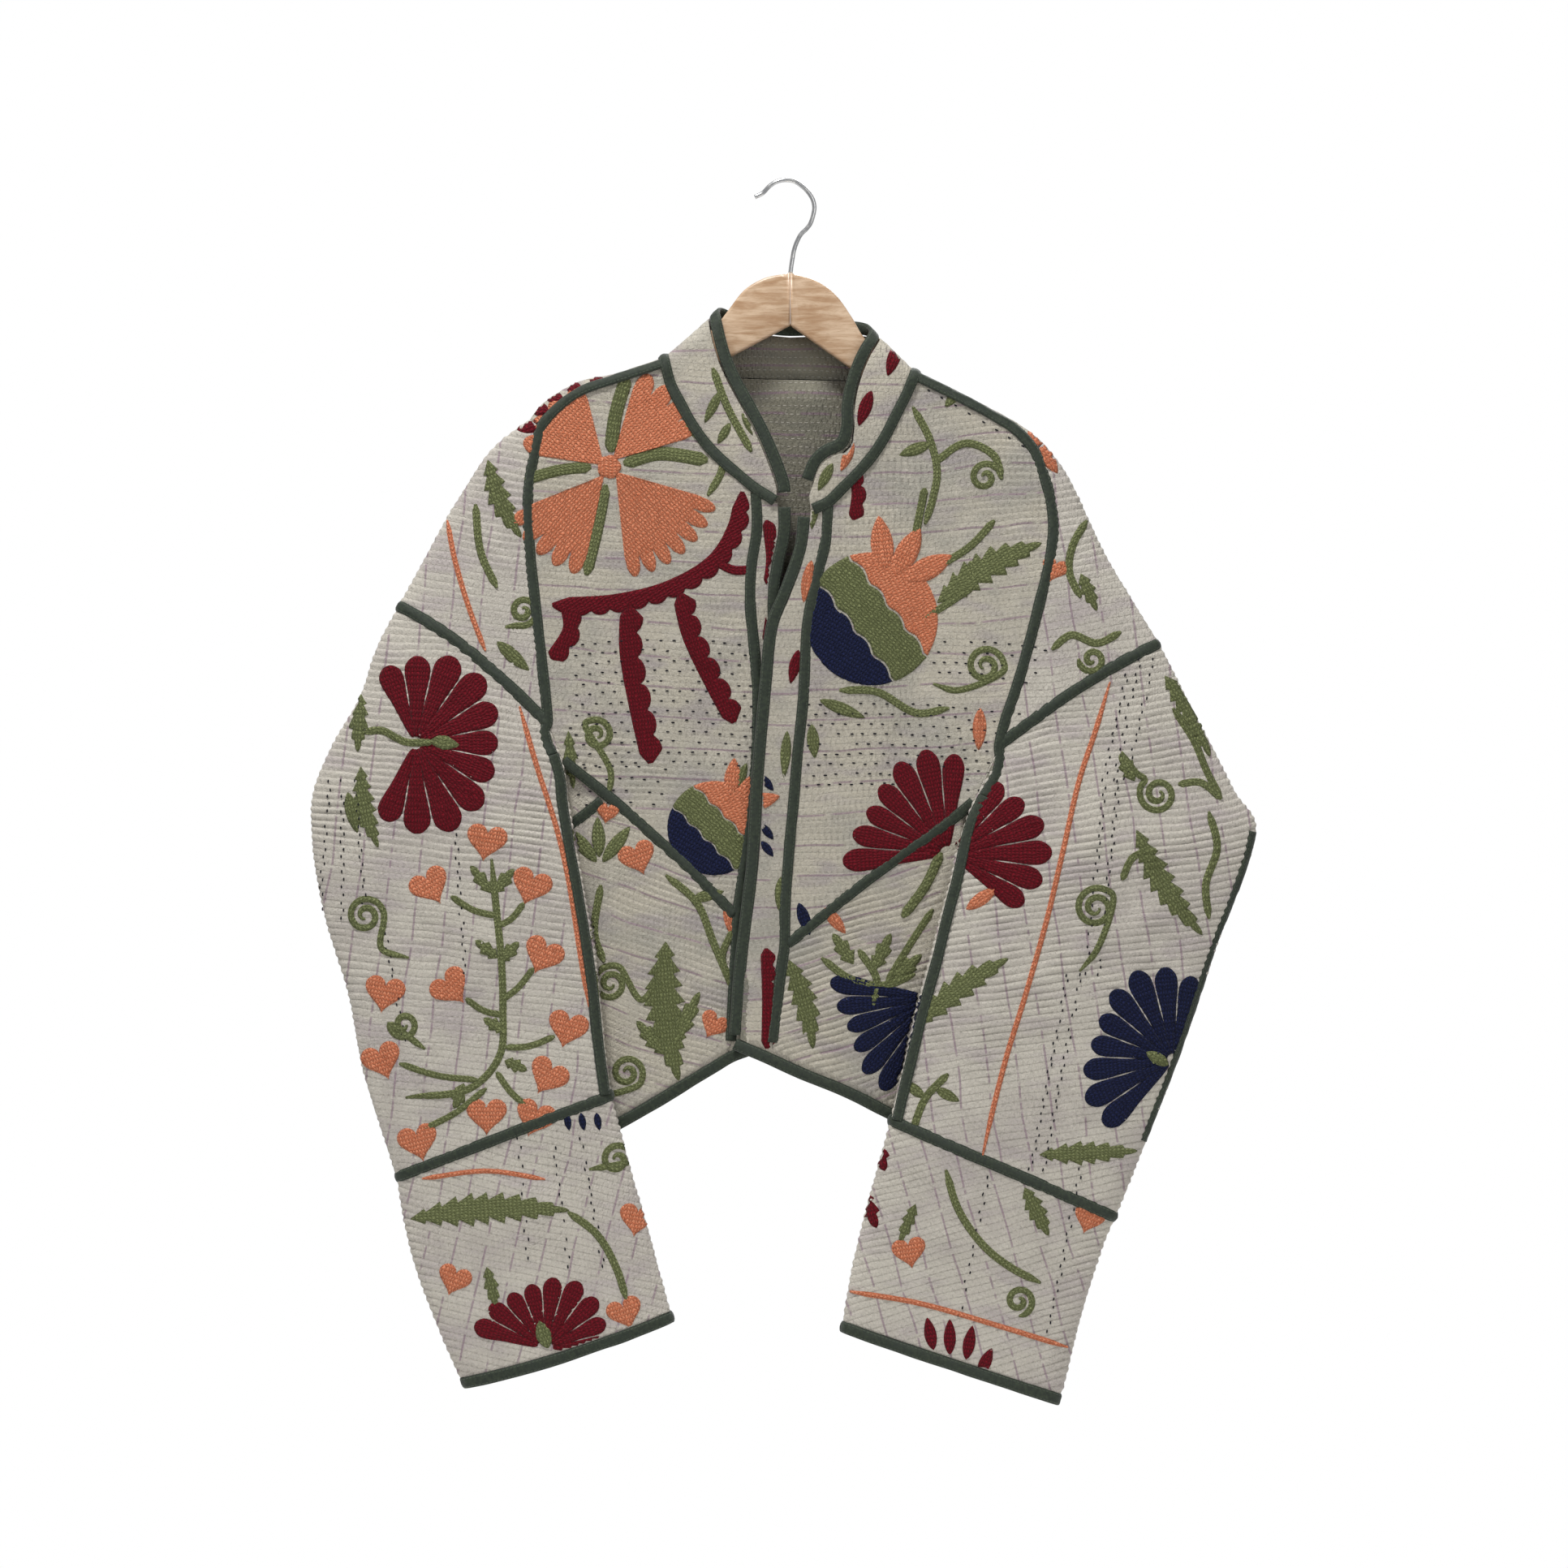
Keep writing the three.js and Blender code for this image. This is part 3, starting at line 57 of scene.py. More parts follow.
HALF = {
    "left": {
        "shoulder": [
            [-98, -9.5, -145], [-139, -9.5, -159], [-157, -9.5, -164], [-176, -10, -175], [-189, -10.5, -186],
            [-198, -11, -198],
        ],
        "ridge": [
            [-99, 0, -141], [-142, 0, -155], [-163, 0, -159], [-180, 0, -167], [-196, 0, -178],
            [-207, 0, -191],
        ],
        "neck": [
            [-98, -9.5, -145], [-94.5, -11, -160], [-84.5, -13, -181], [-70, -14.5, -205], [-53, -16, -224],
            [-25.5, -17.8, -247],
        ],
        "neckBand": [[-25.5, -17.8, -247], [-13, -18.6, -254.5], [-7.9, -19, -258]],
        "bandSeam": [
            [-25.5, -17.8, -247], [-24, -17.8, -272], [-30, -17.6, -326], [-27, -17.4, -369],
            [-24, -17.2, -409], [-26, -17, -474], [-40, -17, -592], [-44, -16.6, -671], [-45, -16.4, -693],
        ],
        "frontEdge": [
            [-2.5, -19, -262], [-2.6, -19, -283], [-9, -18.4, -315], [-11, -17.6, -340], [-7, -17.2, -409],
            [-4, -17, -474], [-14, -17, -592], [-17, -16.4, -682],
        ],
        "diagonal": [
            [-180, -22.5, -467], [-151, -17, -488], [-133, -15.5, -503], [-105, -15.5, -528],
            [-78, -16, -552], [-40, -17, -592],
        ],
        "gusset": [[-147, -16.3, -491], [-171, -13.5, -515], [-205, -8, -540], [-237, -1.9, -560]],
        "underarm": [[-180, -14.8, -467], [-192, -11.5, -474], [-212, -6.5, -478], [-237, -1.9, -472]],
        "side": [[-237, -1.9, -472], [-238, -1.9, -560], [-236, -1.9, -680], [-233, -1.9, -800]],
        "hem": [
            [-233, -4.5, -808], [-180, -8, -781], [-132, -12.5, -755], [-103, -13.6, -738],
            [-73, -14.6, -720], [-45, -15.8, -703],
        ],
        "hemBand": [[-45, -15.8, -703], [-17, -16, -692]],
        "backHem": [[-233, 4.5, -804], [-132, 10, -750], [-73, 11, -716], [-26, 11, -690]],
    },
    "right": {
        "shoulder": [
            [102, -9.5, -156], [129, -9.5, -169], [154, -9.5, -182], [179, -10, -197], [190, -10.5, -205],
            [199, -11, -218],
        ],
        "ridge": [
            [103, 0, -153], [131, 0, -165.5], [157, 0, -178.5], [182, 0, -192], [194, 0, -200],
            [206, 0, -210],
        ],
        "neck": [
            [102, -9.5, -156], [98, -11, -167], [92.5, -13, -177], [81, -15, -201], [66, -17, -224],
            [33, -20.5, -258],
        ],
        "neckBand": [[33, -20.5, -258], [25.5, -21, -262], [19, -21.4, -264.8]],
        "bandSeam": [
            [33, -20.5, -258], [30, -21.5, -294], [19, -23.5, -337], [14.5, -24.6, -380], [13.5, -24.8, -409],
            [7, -24.8, -474], [-3, -24.6, -600], [-6, -24.4, -639], [-12.5, -24, -694],
        ],
        "frontEdge": [
            [13.5, -21.6, -270], [11.5, -22.4, -289], [0, -24.2, -326], [-12.5, -25, -358], [-17, -25, -400],
            [-23.5, -25, -474], [-27.5, -25, -545], [-37, -25, -623], [-42, -25, -685],
        ],
        "diagonal": [
            [149, -23, -500], [130, -18, -514], [97.5, -16.5, -537], [45.5, -21, -576], [-2.5, -24.6, -615],
        ],
        "gusset": [[139, -18, -507], [150, -13, -519], [192, -7, -541], [237, -1.9, -562]],
        "underarm": [[149, -15, -500], [166, -12, -500], [200, -6.5, -492], [237, -1.9, -480]],
        "side": [[237, -1.9, -480], [238, -1.9, -560], [236, -1.9, -680], [234, -1.9, -808]],
        "hem": [
            [234, -4.5, -817], [160, -7, -785], [81, -12, -748], [66, -14, -740], [41, -18.5, -728],
            [16, -21.5, -718], [-12.5, -24, -705],
        ],
        "hemBand": [[-12.5, -24, -705], [-42, -25, -692]],
        "backHem": [[234, 4.5, -813], [81, 10, -743], [20, 11, -714], [-26, 11, -690]],
    },
}
BACK_NECK = [
    [-98, 9.5, -145], [-75, 11, -153], [-40, 12.5, -157], [0, 13, -158], [40, 12.5, -159], [80, 11, -160],
    [102, 9.5, -156],
]
COLLAR_TOP = [
    [-2.6, -20.5, -250], [-3.5, -20.5, -242], [-10, -20, -224], [-21, -19, -198], [-34, -17, -174],
    [-45.5, -14.5, -152], [-52.5, -12.5, -133], [-57, -9.5, -114], [-58.5, 0, -106], [-53, 9.8, -105],
    [-40, 12, -112], [2, 14, -118], [49, 12, -116], [60, 9.8, -117], [70, 0, -121], [67, -9.5, -128],
    [62, -12.5, -136], [55, -14.5, -152], [50, -17, -170], [47.5, -18.5, -191], [47, -19.5, -207],
    [32, -21, -216], [23, -22, -224], [16, -22.4, -240],
]
CAP = {
    "left": [
        # front           fold              back             bow
        [[-198, -11, -198], [-207, 0, -191], [-198, 9.5, -197], 0],
        [[-207, -14, -240], [-238, -1, -216], [-214, 10, -246], 0],
        [[-208, -16, -280], [-263, -1.5, -253], [-221, 10, -290], 3],
        [[-202, -18.5, -337], [-287, -2.5, -296], [-227, 10, -350], 6],
        [[-192, -22, -436], [-312, -4, -341], [-234, 9, -437], 9],
    ],
    "right": [
        [[199, -11, -218], [206, 0, -210], [199, 9.5, -217], 0],
        [[209, -13, -247], [223, -1, -233], [212, 10, -255], 0],
        [[213.5, -15.5, -280], [240, -1.5, -268], [219, 10, -300], 0],
        [[203, -19, -337], [262, -2.5, -312], [226, 10, -360], 2],
        [[170, -23, -453], [298, -4, -371], [234, 9, -447], 5],
    ],
}
SLEEVE = {
    "left": [
        # front             fold              back             bow swell  back swell  closed
        [[-192, -22, -436], [-312, -4, -341], [-235.5, 7.5, -437], 9, 0, 0, 0],
        [[-186, -22.3, -450], [-330, -5, -376], [-215, -8, -478], 9, 9, 8, 0.4],
        [[-180, -22.6, -468], [-343, -6, -415], [-186, -16.6, -512], 7, 10, 5, 1],
        [[-175.5, -23, -500], [-366, -7, -454], [-176.5, -17.4, -532], 4, 11, 4, 1],
        [[-171, -23.5, -528], [-381, -9, -493], [-171, -17.9, -550], 2, 12, 4, 1],
        [[-166, -24, -555], [-381, -10, -527], [-166, -18.4, -567], 0, 12, 4, 1],
        [[-158, -24.5, -598], [-370, -11, -592], [-158, -18.9, -598], 0, 12, 4, 1],
        [[-152, -25, -640], [-352, -12, -650], [-152, -19.4, -640], 0, 12, 4, 1],
        [[-147, -25.5, -690], [-340, -13, -715], [-147, -19.9, -690], 0, 12, 4, 1],
        [[-141.5, -26, -733], [-313, -14, -799], [-141.5, -20.4, -733], 0, 12, 4, 1],
    ],
    "right": [
        [[170, -23, -453], [298, -4, -371], [235.5, 7.5, -447], 5, 0, 0, 0],
        [[160, -23, -475], [321, -5, -416], [212, -9, -494], 5, 9, 8, 0.4],
        [[148, -23.4, -502], [341, -6, -454], [160, -17.4, -535], 4, 10, 5, 1],
        [[138, -25.8, -530], [360, -7, -491], [142, -20.2, -560], 2, 11, 4, 1],
        [[131, -27, -560], [376, -9, -515], [132, -21.4, -582], 2, 12, 4, 1],
        [[124, -27.5, -585], [368, -10, -552], [124, -21.9, -598], 0, 12, 4, 1],
        [[115, -28, -622], [345, -11, -610], [115, -22.4, -622], 0, 12, 4, 1],
        [[105, -28.5, -660], [326, -12, -668], [105, -22.9, -660], 0, 12, 4, 1],
        [[95, -29, -702], [300, -13, -738], [95, -23.4, -702], 0, 12, 4, 1],
        [[83, -29, -753], [263, -14, -831], [83, -23.4, -753], 0, 12, 4, 1],
    ],
}
CUFF = {
    "left": [
        [[-141.5, -26, -733], [-313, -14, -799], [-141.5, -20.4, -733], 0, 12, 4, 1],
        [[-133, -25, -765], [-309, -14, -825], [-133, -19.4, -765], 2, 12, 6, 1],
        [[-122, -24, -805], [-300, -14, -864], [-122, -18.4, -805], 2, 13, 7, 1],
        [[-108, -23.5, -855], [-284, -14, -908], [-108, -17.9, -855], 2, 13, 8, 1],
        [[-94, -23, -906], [-262.5, -14, -960], [-94, -17.4, -906], -4, 13, 8, 1],
    ],
    "right": [
        [[83, -29, -753], [263, -14, -831], [83, -23.4, -753], 0, 12, 4, 1],
        [[72, -28, -793], [251, -14, -860], [72, -22.4, -793], 0, 12, 5, 1],
        [[57, -25, -850], [238, -14, -902], [57, -19.4, -850], 0, 13, 7, 1],
        [[45, -24, -914], [219.5, -14, -973], [45, -18.4, -914], 0, 13, 8, 1],
    ],
}
HANGER = {
    "left": {
        "top": [
            [2.4, -73.5], [-17, -77], [-34, -86.5], [-48, -104], [-58.5, -117], [-84, -137], [-97, -149.5],
            [-120, -156], [-143, -162], [-163, -168], [-180, -178], [-191, -190],
        ],
        "under": [[-185, -206], [-150, -192], [-100, -168], [-44, -140], [2.4, -115.5]],
    },
    "right": {
        "top": [
            [2.6, -73.5], [24, -80], [39, -91], [52, -109], [62, -125.5], [80, -143], [97, -159.5],
            [115, -168], [158, -188], [184, -205], [190, -214],
        ],
        "under": [[182, -226], [150, -205], [100, -180], [51, -150], [2.6, -115.5]],
    },
}
HOOK = [
    [-26, -12], [-20, -9], [-14, -3], [-7.5, 0.8], [0, 1.75], [6, 0.6], [11, -2.5], [16, -7], [20.3, -13.5],
    [21.8, -20], [21, -26], [18.5, -33.5], [15.5, -37.5], [11, -42], [8, -47.5], [5.5, -54.5], [4.2, -61.5],
    [3.2, -68], [2.6, -72.9],
]
FRONT_FOLDS = [
    # x1  z1   x2    z2  width height
    [-70, -300, -88, -460, 16, 2.2],
    [-125, -330, -120, -440, 20, -1.8],
    [-160, -380, -135, -480, 14, 1.8],
    [-110, -560, -90, -690, 15, 2.2],
    [-70, -600, -62, -690, 10, -1.6],
    [189, -212, 201, -270, 7, 2.6],
    [70, -280, 60, -420, 18, 2],
    [110, -330, 95, -500, 20, -1.8],
    [150, -360, 120, -500, 14, 1.8],
    [60, -600, 70, -700, 14, 2.2],
]
BACK_FOLDS = [
    [-150, -230, -120, -520, 22, 2.6],
    [-60, -260, -70, -640, 20, -2],
    [10, -300, 0, -640, 22, 2.2],
    [80, -260, 70, -620, 20, -2],
    [150, -240, 130, -560, 22, 2.6],
    [-170, -560, -110, -700, 16, 2],
    [170, -580, 120, -700, 16, -2],
]
SLEEVE_FOLDS = [
    [-300, -400, -220, -560, 16, 2.4],
    [-330, -480, -250, -640, 14, -1.8],
    [-350, -540, -200, -640, 13, 2],
    [-300, -640, -190, -690, 12, -1.6],
    [-250, -800, -160, -830, 14, 1.6],
    [290, -420, 220, -570, 16, 2.4],
    [330, -500, 240, -640, 14, -1.8],
    [345, -560, 180, -650, 13, 2],
    [290, -680, 150, -700, 12, -1.6],
    [210, -860, 100, -850, 14, 1.6],
]

def make_camera():
    data = bpy.data.cameras.new("camera")
    data.sensor_width = 36
    data.lens = CAMERA_LENS
    camera = bpy.data.objects.new("camera", data)
    camera.location = CAMERA_PLACE
    camera.rotation_euler = (math.pi / 2, 0, 0)
    bpy.context.scene.collection.objects.link(camera)
    bpy.context.scene.camera = camera


make_camera()


# Lines and grids


def catmull(points, t):
    """Centripetal Catmull-Rom through the points, at places t from 0 to 1."""
    p = np.asarray(points, float)
    last = len(p) - 1
    at = np.clip(np.asarray(t, float) * last, 0, last - 1e-9)
    p = np.vstack([2 * p[0] - p[1], p, 2 * p[-1] - p[-2]])
    k = at.astype(int)
    w = (at - k)[:, None]
    p0, p1, p2, p3 = p[k], p[k + 1], p[k + 2], p[k + 3]
    d0, d1, d2 = (np.sqrt(np.linalg.norm(b - a, axis=1, keepdims=True))
                  for a, b in ((p0, p1), (p1, p2), (p2, p3)))
    d1 = np.where(d1 < 1e-4, 1, d1)
    d0 = np.where(d0 < 1e-4, d1, d0)
    d2 = np.where(d2 < 1e-4, d1, d2)
    m1 = ((p1 - p0) / d0 - (p2 - p0) / (d0 + d1) + (p2 - p1) / d1) * d1
    m2 = ((p2 - p1) / d1 - (p3 - p1) / (d1 + d2) + (p3 - p2) / d2) * d1
    return p1 + m1 * w + (3 * (p2 - p1) - 2 * m1 - m2) * w**2 + (2 * (p1 - p2) + m1 + m2) * w**3


def lengths(points):
    steps = np.linalg.norm(np.diff(points, axis=0), axis=1)
    return np.concatenate([[0], np.cumsum(steps)])


def along(table, parts):
    """Evenly spaced points on a smooth curve through a table's rows."""
    t = np.linspace(0, 1, CURVE_SAMPLES)
    far = lengths(catmull(table, t))
    return catmull(table, np.interp(np.linspace(0, far[-1], parts + 1), far, t))


def trimmed(points, at_start, at_end, step=2.0):
    """The part of a line clear of its ends, with points about step apart, and their places on it."""
    t = np.linspace(0, 1, 20 * len(points))
    far = lengths(catmull(points, t))
    count = max(int((far[-1] - at_start - at_end) / step), 4)
    where = np.interp(np.linspace(at_start, far[-1] - at_end, count + 1), far, t)
    return catmull(points, where), where


def spread(values, where):
    """Rows of values, one a point, taken at places from 0 to 1 along a line."""
    at = np.linspace(0, 1, len(values))
    return np.stack([np.interp(where, at, column) for column in np.asarray(values, float).T], axis=1)


def unit(v):
    return v / np.maximum(np.linalg.norm(v, axis=-1, keepdims=True), 1e-9)


def beside(points, distance):
    """A line moved sideways in the plane of the front, to the left of its run when positive."""
    ends = np.vstack([points[:1], points, points[-1:]])
    run = ends[2:] - ends[:-2]
    run[:, 1] = 0
    run = unit(run)
    return points + distance * np.stack([-run[:, 2], 0 * run[:, 1], run[:, 0]], axis=1)


def coons(first, last, start, end):
    """Points inside four sides: first and last run across, start and end run from first to last."""
    v = np.linspace(0, 1, len(start))[:, None, None]
    u = np.linspace(0, 1, len(first))[None, :, None]
    sides = first[None] * (1 - v) + last[None] * v + start[:, None] * (1 - u) + end[:, None] * u
    corners = (first[0] * (1 - u) * (1 - v) + first[-1] * u * (1 - v)
               + last[0] * (1 - u) * v + last[-1] * u * v)
    return sides - corners


def cells(rows, columns):
    """Row and column of each cell of a grid, as two flat arrays."""
    i, j = np.meshgrid(np.arange(rows), np.arange(columns), indexing="ij")
    return i.ravel(), j.ravel()


def fold_height(folds, x, z):
    height = np.zeros_like(x)
    for x1, z1, x2, z2, width, rise in folds:
        length = math.hypot(x2 - x1, z2 - z1)
        t = ((x - x1) * (x2 - x1) + (z - z1) * (z2 - z1)) / length**2
        off = ((x - x1) * (z2 - z1) - (z - z1) * (x2 - x1)) / length
        height += rise * np.sin(math.pi * np.clip(t, 0, 1)) * np.exp(-((off / width) ** 2))
    return height


def noise(x, z, size, seed):
    """Smooth noise from -1 to 1 whose features are that size."""
    lattice = np.random.default_rng(seed).uniform(-1, 1, (LATTICE, LATTICE))
    u, v = x / size + 500, z / size + 500
    i, j = np.floor(u).astype(int), np.floor(v).astype(int)
    f, g = u - i, v - j
    f, g = f * f * (3 - 2 * f), g * g * (3 - 2 * g)
    i, j, i1, j1 = i % LATTICE, j % LATTICE, (i + 1) % LATTICE, (j + 1) % LATTICE
    low = lattice[i, j] * (1 - f) + lattice[i1, j] * f
    high = lattice[i, j1] * (1 - f) + lattice[i1, j1] * f
    return low * (1 - g) + high * g


def normals(grid, wrapped=False):
    """Unit normals of a grid of points, to one side or the other."""
    if wrapped:
        across = np.roll(grid, -1, axis=1) - np.roll(grid, 1, axis=1)
    else:
        across = np.gradient(grid, axis=1)
    return unit(np.cross(across, np.gradient(grid, axis=0)))


# Sleeve sections, as in the part's source


def section_rows(table, parts, around):
    """Points of sections between the rows of a table, from the front edge round the fold to the back."""
    t = np.linspace(0, 1, parts + 1)
    front, fold, back = (catmull([row[c] for row in table], t) for c in range(3))
    at = np.arange(len(table))
    bow, swell, back_swell, closed = (
        np.interp(t * (len(table) - 1), at, [row[c] if c < len(row) else 0 for row in table])[:, None]
        for c in range(3, 7))
    a = np.linspace(0, 1, around + 1)[None]
    arch = np.sin(math.pi * a).clip(0)
    f = (1 - closed) * np.sin(math.pi * a / 2) + closed * (1 - np.cos(math.pi * a)) / 2
    lean = np.cos(math.pi * a / 2).clip(0) ** 0.8

    def half(edge, bulge, sign):
        y_open = fold[:, 1:2] + (edge[:, 1:2] - fold[:, 1:2]) * lean + sign * 0.3 * bulge * arch
        y_shut = edge[:, 1:2] + (fold[:, 1:2] - edge[:, 1:2]) * f + sign * bulge * arch**0.65
        return np.stack([
            edge[:, 0:1] + (fold[:, 0:1] - edge[:, 0:1]) * f,
            y_open + (y_shut - y_open) * closed,
            edge[:, 2:3] + (fold[:, 2:3] - edge[:, 2:3]) * f + bow * 4 * f * (1 - f),
        ], axis=2)

    back_half = half(back, back_swell, 1)[:, ::-1]
    return np.concatenate([half(front, swell, -1), back_half[:, 1:]], axis=1)


AROUND = 10
CAP_ROWS = 8
SLEEVE_ROWS = 15
OPEN_ROWS = 3
CUFF_ROWS = 6
SHOULDER_PARTS = 5
NECK_PARTS = 7
BAND_PARTS = 2
BACK_NECK_PARTS = 8
LOWER_PARTS = 8
GUSSET_PARTS = 3
GUSSET_ACROSS = 5
BACK_ROWS = 12
BACK_FULLNESS = 5
COLLAR_ROWS = 3
UPPER_PARTS = CAP_ROWS + OPEN_ROWS


def sleeve_folded(grid, first_free, last_free, fine):
    """Sections with the soft folds on their front and back. fine is the rows and columns a part."""
    rows, columns = grid.shape[:2]
    i = np.arange(rows)[:, None] / fine[0]
    j = np.arange(columns)[None] / fine[1]
    turn = math.pi * j / (2 * AROUND)
    rim = np.sin(turn) * np.abs(np.cos(turn))
    start = 1 if first_free else np.minimum(i / 2, 1)
    end = 1 if last_free else np.minimum((rows - 1) / fine[0] / 2 - i / 2, 1)
    move = fold_height(SLEEVE_FOLDS, grid[..., 0], grid[..., 2]) * np.minimum(2 * rim, 1) * start * end
    grid = grid.copy()
    grid[..., 1] += np.where(j < AROUND, -move, 0.6 * move)
    return grid


# Quilting


def edge_fade(grid, reach=5.0, open_sides=False):
    """0 at the sides of a grid and 1 from a few millimetres in."""
    rows = np.linalg.norm(np.diff(grid, axis=0), axis=2)
    columns = np.linalg.norm(np.diff(grid, axis=1), axis=2)
    down = np.vstack([np.zeros((1, grid.shape[1])), np.cumsum(rows, axis=0)])
    over = np.hstack([np.zeros((grid.shape[0], 1)), np.cumsum(columns, axis=1)])
    near = np.minimum(down, down[-1:] - down)
    if not open_sides:
        near = np.minimum(near, np.minimum(over, over[:, -1:] - over))
    return np.clip(near / reach, 0, 1)


def quilting(x, z, tilt=0.0, ribs=0.0, seed=1, pitch=5.4, arch=0.0, height=0.62):
    """Height in mm of the puckers between the rows of stitches, and the two places that the
    material needs: along the rows in mm, and across them counted in rows."""
    wander = 2.6 * noise(x, z, 55, seed) + 0.9 * noise(x, z, 21, seed + 1)
    across = z + tilt * x + arch * (x / 100) ** 2 + wander
    level = across / pitch
    along_row = x - tilt * z + 1.6 * noise(x, z, 34, seed + 2)
    row = np.floor(level)
    crest = (0.5 - 0.5 * np.cos(2 * math.pi * level)) ** 0.75
    uneven = 0.72 + 0.28 * noise(x, z, 17, seed + 3) + 0.22 * noise(x, z, 8, seed + 4)
    rows = crest * uneven
    gather = 0.5 + 0.5 * np.cos(2 * math.pi * (along_row / 6.4 + 0.5 * (row % 2)) + 1.7
                                * noise(x, z, 12, seed + 5))
    columns = (0.5 - 0.5 * np.cos(2 * math.pi * (along_row + 1.3 * noise(z, x, 30, seed + 6)) / 5.2)) * uneven
    bump = height * (rows * (1 - 0.75 * ribs) * (0.8 + 0.2 * gather) + columns * ribs)
    swell = 0.5 * noise(x, z, 42, seed + 7) + 0.3 * noise(x, z, 90, seed + 8)
    return bump + swell, along_row, level


# Materials


class Value:
    """An output of a node, which takes arithmetic with numbers and with other values."""

    def __init__(self, nodes, socket):
        self.nodes, self.socket = nodes, socket

    def __add__(self, other):
        return self.nodes.math("ADD", self, other)

    def __sub__(self, other):
        return self.nodes.math("SUBTRACT", self, other)

    def __rsub__(self, other):
        return self.nodes.math("SUBTRACT", other, self)

    def __mul__(self, other):
        return self.nodes.math("MULTIPLY", self, other)

    def __truediv__(self, other):
        return self.nodes.math("DIVIDE", self, other)

    def __abs__(self):
        return self.nodes.math("ABSOLUTE", self)


class Nodes:
    """Short calls that make a material's nodes."""

    def __init__(self, name):
        self.material = bpy.data.materials.new(name)
        self.material.use_nodes = True
        self.tree = self.material.node_tree
        self.shader = self.tree.nodes["Principled BSDF"]

    def node(self, kind, inputs, output=0, **settings):
        """A new node's output. Inputs are values or numbers, by name or number."""
        made = self.tree.nodes.new("ShaderNode" + kind)
        for key, value in settings.items():
            setattr(made, key, value)
        for key, value in inputs.items():
            self.set(made.inputs[key], value)
        return Value(self, made.outputs[output])

    def set(self, socket, value):
        if isinstance(value, Value):
            self.tree.links.new(value.socket, socket)
        else:
            socket.default_value = value

    def math(self, operation, a, b=0.0):
        return self.node("Math", {0: a, 1: b}, operation=operation)

    def uv(self, name):
        both = self.node("UVMap", {}, uv_map=name)
        split = self.node("SeparateXYZ", {0: both})
        return split, Value(self, split.socket.node.outputs[1])

    def here(self):
        return self.node("TexCoord", {}, "Object")

    def join(self, x, y):
        return self.node("CombineXYZ", {0: x, 1: y})

    def noise(self, at, scale, detail=2.0, rough=0.5, **more):
        return self.node("TexNoise", {"Vector": at, "Scale": scale, "Detail": detail, "Roughness": rough,
                                      **more}, "Fac")

    def ramp(self, value, low, high):
        return self.node("MapRange", {0: value, 1: low, 2: high, 3: 0.0, 4: 1.0},
                         interpolation_type="SMOOTHSTEP")

    def mix(self, share, a, b):
        return self.node("Mix", {0: share, 6: a, 7: b}, 2, data_type="RGBA")

    def bump(self, height, distance, strength):
        return self.node("Bump", {"Height": height, "Distance": distance, "Strength": strength})

    def finish(self, colour, rough, normal=None, **fixed):
        self.set(self.shader.inputs["Base Color"], colour)
        self.set(self.shader.inputs["Roughness"], rough)
        if normal is not None:
            self.set(self.shader.inputs["Normal"], normal)
        for key, value in fixed.items():
            self.shader.inputs[key.replace("_", " ")].default_value = value
        return self.material


def rgb(code):
    """A colour from sRGB hex digits, in linear light."""
    parts = [int(code[i:i + 2], 16) / 255 for i in (0, 2, 4)]
    return (*[c / 12.92 if c <= 0.04045 else ((c + 0.055) / 1.055) ** 2.4 for c in parts], 1)


